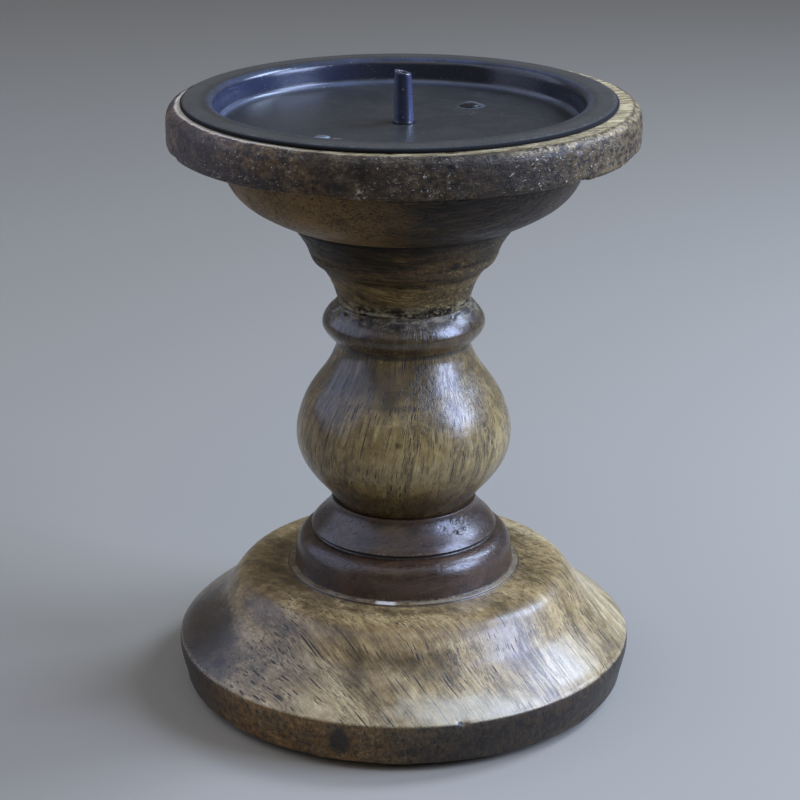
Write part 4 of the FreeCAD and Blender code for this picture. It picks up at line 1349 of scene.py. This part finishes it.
wood_neck = wood("wood_neck", (-0.96, 0.2, 0.17), 9.0, OLIVE, pore_len=16,
                 pore_gap=1.0, pore_size=0.16, contrast=1.0, mottle=0.42,
                 stain=0.5, rough=0.42, marks=neck_marks, level=0.26)
wood_cup = wood("wood_cup", (0.95, 0.30, 0.10), 12.0, AMBER, pore_len=13,
                pore_gap=0.95, pore_size=0.21, contrast=1.0, mottle=0.42,
                stain=0.42, rough=0.44, marks=cup_marks, level=0.30,
                coat=0.09)


def paint(name, tone, rough, dust, seed, coat=0.0):
    """Black satin paint on steel with dust, wax specks and faint streaks."""
    g = Graph(name)
    P = g.move(g.P, loc=(seed, seed * 2.0, seed * 3.0))
    film = g.noise(P, 0.10, 6, 0.7, 0.5)
    peel = g.noise(P, 1.6, 2, 0.5)
    lint = g.noise(P, 2.4, 4, 0.8)
    c = g.mix(g.mul(g.span(film, 0.30, 0.75), g.span(lint, 0.40, 0.62), dust),
              tone, srgb(134, 132, 116))
    d, cell = g.cells(P, 0.42)
    sep = g.tree.nodes.new("ShaderNodeSeparateColor")
    g.link(cell, sep.inputs[0])
    pick = g.span(sep.outputs[0], 0.55, 0.60)
    size = g.span(sep.outputs[1], 0.0, 1.0, 0.035, 0.11, smooth=False)
    dots = g.mul(g.span(g.math("DIVIDE", d, size), 1.2, 0.6), pick)
    d2, cell2 = g.cells(g.move(P, loc=(9, 4, 1)), 1.5)
    sep2 = g.tree.nodes.new("ShaderNodeSeparateColor")
    g.link(cell2, sep2.inputs[0])
    dots2 = g.mul(g.span(d2, 0.22, 0.10), g.span(sep2.outputs[0], 0.70, 0.74))
    specks = g.math("MAXIMUM", g.mul(dots, 0.8), g.mul(dots2, 0.5))
    flat = g.span(g.z, PAN_FLOOR - 1.2, PAN_FLOOR - 0.2)
    c = g.mix(g.mul(specks, flat, 0.75), c, srgb(150, 148, 138))
    ro = g.add(rough, g.mul(g.span(film, 0.3, 0.7), 0.05), g.mul(peel, 0.05),
               g.mul(specks, 0.25))
    h = g.add(g.mul(peel, 0.35), g.mul(specks, 0.9), g.mul(film, 0.3))
    n = g.bump(h, 0.00006)
    fixed = {"Coat_Weight": coat, "Coat_Roughness": 0.2} if coat else {}
    return g, c, ro, n, fixed


g, c, ro, n, fixed = paint("paint_pan", srgb(44, 45, 44), 0.17, 0.17, 4.0)
ro = g.add(ro, g.mul(g.span(g.z, PAN_FLOOR + 0.9, PAN_FLOOR + 0.2), 0.13))
rp = g.math("SQRT", g.add(g.mul(g.add(g.x, -PAN_X), g.add(g.x, -PAN_X)), g.mul(g.y, g.y)))
# dusty flange
flange = g.mul(g.span(rp, 47.2, 50.2), g.span(g.z, 154.6, 155.1))
c = g.mix(g.mul(flange, g.span(g.noise(g.P, 0.12, 4, 0.7), 0.25, 0.6, 0.6, 1.0),
                0.13), c, srgb(140, 142, 136))
# painted shade darkens the wall, with a painted blue reflection on its left; dust in the
# corner of the floor, tinted as a painted highlight; paint rubbed thin along the top bend,
# tinted as a painted highlight
cloud = g.noise(g.P, 0.09, 4, 0.65)
wall = g.mul(g.span(g.z, PAN_FLOOR + 1.1, PAN_FLOOR + 1.9), g.span(g.z, 154.9, 154.0))
c = g.mix(g.mul(wall, 0.75), c, srgb(19, 23, 37))
c = g.mix(g.mul(wall, g.arc(160, 42, 26), 0.20), c, srgb(52, 68, 112))
corner = g.mul(g.band(g.z, PAN_FLOOR + 0.10, PAN_FLOOR + 1.15, 0.35),
               g.span(rp, 42.6, 43.6), g.span(cloud, 0.30, 0.62, 0.55, 1.0))
c = g.mix(g.mul(corner, 0.48), c, srgb(98, 108, 130))
bend = g.mul(g.band(rp, 45.7, 47.4, 0.7), g.span(g.z, 154.2, 154.8),
             g.span(cloud, 0.34, 0.60, 0.35, 1.0))
c = g.mix(g.mul(bend, 0.42), c, srgb(80, 91, 118))
# painted shade: the flange's outer edge is made near black
lip = g.span(rp, 53.05, 53.3)
c = g.stain(lip, c, 0.04, 0.04, 0.05)
ro = g.add(ro, g.mul(lip, 0.8))
# rubbed on the flange's outer edge; a ring left round the small pin
rub = g.mul(g.band(rp, 52.3, 52.95, 0.15), g.span(g.noise(g.P, 0.5, 3, 0.7), 0.5, 0.64))
c = g.mix(g.mul(rub, 0.35), c, srgb(120, 118, 114))
dx, dy = g.add(g.x, 19.6), g.add(g.y, 16.0)
rn = g.math("SQRT", g.add(g.mul(dx, dx), g.mul(dy, dy)))
halo = g.mul(g.band(rn, 1.45, 1.95, 0.14), g.span(g.z, PAN_FLOOR + 1.0, PAN_FLOOR + 0.5),
             g.span(g.noise(g.P, 0.9, 3, 0.7), 0.24, 0.42))
c = g.mix(g.mul(halo, 0.85), c, srgb(150, 156, 168))
smear = g.blob((-16.0, -17.2, PAN_FLOOR), (1.9, 0.55, 1.0), 0.3,
               g.noise(g.P, 0.9, 3, 0.7))
c = g.mix(g.mul(smear, 0.55), c, srgb(150, 138, 132))

# painted highlight: a pale bluish ring round the tack, brighter at its right
tx, ty = g.add(g.x, -16.8), g.add(g.y, -18.4)
rt = g.math("SQRT", g.add(g.mul(tx, tx), g.mul(ty, ty)))
tack_glint = g.mul(g.band(rt, 2.4, 3.7, 0.5), g.span(g.z, PAN_FLOOR + 1.0, PAN_FLOOR + 0.5),
               g.span(g.noise(g.P, 0.6, 3, 0.7), 0.30, 0.55),
               g.span(tx, -2.0, 1.6, 0.25, 1.0))
c = g.mix(g.mul(tack_glint, 0.55), c, srgb(112, 118, 132))
mat_pan = g.finish(c, ro, n, **fixed)

g, c, ro, n, fixed = paint("paint_spike", srgb(27, 32, 52), 0.30, 0.08, 21.0, coat=0.9)
streak = g.noise(g.move(g.P, scale=(2.4, 2.4, 0.18)), 1.0, 3, 0.6)
c = g.mix(g.mul(g.span(streak, 0.50, 0.75), 0.35), c, srgb(60, 60, 72))
# painted highlights: the spike's right and left sides are made paler blue
c = g.mix(g.mul(g.span(g.x, 0.5, 1.9), 0.40), c, srgb(80, 88, 130))
c = g.mix(g.mul(g.span(g.x, -1.3, -2.2), 0.30), c, srgb(74, 82, 120))
tip = g.mul(g.span(g.z, PAN_FLOOR + 11.9, PAN_FLOOR + 12.7),
            g.span(g.noise(g.P, 1.4, 3, 0.7), 0.42, 0.60))
c = g.mix(g.mul(tip, 0.55), c, srgb(120, 118, 122))
foot_line = g.band(g.z, PAN_FLOOR + 0.0, PAN_FLOOR + 0.7, 0.15)
c = g.mix(g.mul(foot_line, 0.7), c, srgb(14, 14, 16))
mat_spike = g.finish(c, g.add(ro, g.mul(streak, 0.10)), n, **fixed)

g, c, ro, n, fixed = paint("paint_nail", srgb(15, 15, 18), 0.34, 0.16, 33.0)
# painted light: the tack's back half is made pale while its front stays dark as painted shade;
# the pin is pale grey all over
back = g.math("MAXIMUM", g.span(g.y, 17.3, 18.9), g.mul(g.span(g.y, 0.0, -4.0), 0.8))
c = g.mix(g.mul(back, 0.80), c, srgb(112, 116, 118))
dx, dy = g.add(g.x, 19.6), g.add(g.y, 16.0)
rn = g.math("SQRT", g.add(g.mul(dx, dx), g.mul(dy, dy)))
c = g.mix(g.mul(g.band(rn, 1.15, 1.7, 0.12), 0.6), c, srgb(146, 152, 164))
# the dome's top is paler, partly scuffs and partly a painted highlight
crown = g.span(g.z, PAN_FLOOR + 0.72, PAN_FLOOR + 1.0)
scuff = g.span(g.noise(g.P, 1.3, 4, 0.7), 0.40, 0.62)
c = g.mix(g.mul(crown, scuff, 0.30), c, srgb(120, 120, 120))
mat_nail = g.finish(c, ro, n, **fixed)


def zinc(name, kind):
    """Zinc-plated steel: cloudy, slightly yellowed, with turned or pressed
    marks; the rod has its rolled thread in the surface."""
    g = Graph(name)
    cloud = g.noise(g.P, 0.5, 4, 0.6, 0.6)
    speck = g.noise(g.P, 3.0, 3, 0.7)
    c = g.ramp(cloud, [(0.30, srgb(150, 150, 150)), (0.55, srgb(186, 184, 176)),
                       (0.75, srgb(205, 200, 184))])
    c = g.mix(g.mul(g.span(speck, 0.62, 0.75), 0.4), c, srgb(120, 100, 76))
    ro = g.add(0.28, g.mul(cloud, 0.22), g.mul(speck, 0.08))
    if kind == "rod":
        turn = g.math("ARCTAN2", g.y, g.x)
        turn = g.mul(turn, 1.0 / (2 * math.pi))
        saw = g.math("PINGPONG", g.math("ADD", g.z, turn), 0.5)
        h = g.mul(saw, 2.0)
        n = g.bump(h, 0.0006)
    elif kind == "washer":
        h = g.add(g.mul(g.noise(g.move(g.P, scale=(1, 1, 4)), 1.2, 3), 0.6),
                  g.mul(g.math("SINE", g.mul(g.r, 9.0)), 0.15))
        n = g.bump(h, 0.00008)
    else:
        h = g.add(g.mul(g.math("SINE", g.mul(g.z, 14.0)), 0.12),
                  g.mul(speck, 0.5))
        n = g.bump(h, 0.00008)
    return g.finish(c, ro, n, Metallic=1.0)


mat_rod = zinc("zinc_rod", "rod")
mat_washer = zinc("zinc_washer", "washer")
mat_nut = zinc("zinc_nut", "nut")

g = Graph("felt_black")
wool = g.noise(g.P, 1.3, 5, 0.75, 1.2)
hair = g.noise(g.move(g.P, scale=(0.4, 2.6, 2.0), rot=(0, 0, 0.6)), 1.0, 4, 0.7,
               1.6)
hair2 = g.noise(g.move(g.P, scale=(2.6, 0.4, 2.0), rot=(0, 0, 0.2)), 1.0, 4, 0.7,
                1.6)
c = g.ramp(g.mul(g.add(wool, hair, hair2), 0.333),
           [(0.35, srgb(20, 20, 21)), (0.55, srgb(42, 41, 41)),
            (0.70, srgb(70, 68, 66))])
n = g.bump(g.add(wool, hair, hair2), 0.00035)
mat_felt = g.finish(c, g.add(0.88, g.mul(wool, 0.1)), n, Sheen_Weight=0.35,
                    Sheen_Roughness=0.5)


def wear(ob, mat):
    ob.data.materials.clear()
    ob.data.materials.append(mat)


PIECES = [(plinth, "base_plinth", "base_wood", wood_base),
          (foot, "foot_moulding", "foot_wood", wood_foot),
          (baluster, "stem_baluster", "stem_wood", wood_stem),
          (neck, "neck_collar", "neck_wood", wood_neck),
          (cup, "top_cup", "cup_wood", wood_cup),
          (pan, "drip_pan", "pan_steel", mat_pan),
          (spike, "pricket_spike", "spike_steel", mat_spike),
          (tack, "pan_tack", "nail_steel", mat_nail),
          (pin, "pan_pin", "nail_steel", mat_nail),
          (felt, "felt_pad", "felt", mat_felt)]
for ob, node, slot, mat in PIECES:
    wear(ob, mat)
    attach(ob, "root")
    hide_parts(node)

for node, mat in (("tie_rod", mat_rod), ("rod_washers", mat_washer),
                  ("rod_nuts", mat_nut)):
    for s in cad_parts[node].material_slots:
        s.material = mat


# ------------------------------------------------------- floor and the light
def plane(name, size, z):
    me = bpy.data.meshes.new(name)
    h = size / 2
    me.from_pydata([(-h, -h, z), (h, -h, z), (h, h, z), (-h, h, z)], [],
                   [(0, 1, 2, 3)])
    ob = bpy.data.objects.new(name, me)
    bpy.context.scene.collection.objects.link(ob)
    return ob


floor = plane("floor", 12.0, -0.00002)
fm = bpy.data.materials.new("floor_pale")
fm.use_nodes = True
fb = fm.node_tree.nodes["Principled BSDF"]
fb.inputs["Base Color"].default_value = (0.365, 0.335, 0.268, 1)
fb.inputs["Roughness"].default_value = 0.75
wear(floor, fm)


def area(name, azimuth, elevation, distance, size, power, colour,
         aim=(0, 0, 0.08)):
    """A soft box. Azimuth is anticlockwise from +X seen from above."""
    a, e = math.radians(azimuth), math.radians(elevation)
    at = Vector((math.cos(a) * math.cos(e), math.sin(a) * math.cos(e),
                 math.sin(e))) * distance + Vector(aim)
    light = bpy.data.lights.new(name, "AREA")
    light.shape = "RECTANGLE"
    light.size, light.size_y = size
    light.energy = power
    light.color = colour
    ob = bpy.data.objects.new(name, light)
    bpy.context.scene.collection.objects.link(ob)
    ob.location = at
    ob.rotation_euler = (Vector(aim) - at).to_track_quat("-Z", "Y").to_euler()
    return ob


COOL = (0.56, 0.70, 1.0)
area("window_right", 22, 42, 0.95, (0.26, 0.42), 8.6, COOL)
area("window_low", -16, 29, 0.85, (0.44, 0.46), 10.5, (0.52, 0.64, 1.0))
area("window_left", 176, 32, 1.15, (1.35, 1.10), 6.6, (0.57, 0.67, 1.0))
area("sky", -100, 68, 1.0, (1.3, 0.3), 1.1, (0.60, 0.70, 1.0))
area("front_fill", -105, 48, 1.1, (0.8, 0.7), 1.2, (1.0, 0.90, 0.76))

world = bpy.data.worlds.new("studio")
world.use_nodes = True
bg = world.node_tree.nodes["Background"]
bg.inputs[0].default_value = (1.0, 0.95, 0.88, 1)
bg.inputs[1].default_value = 0.13
bpy.context.scene.world = world
bpy.context.scene.view_settings.view_transform = "Standard"
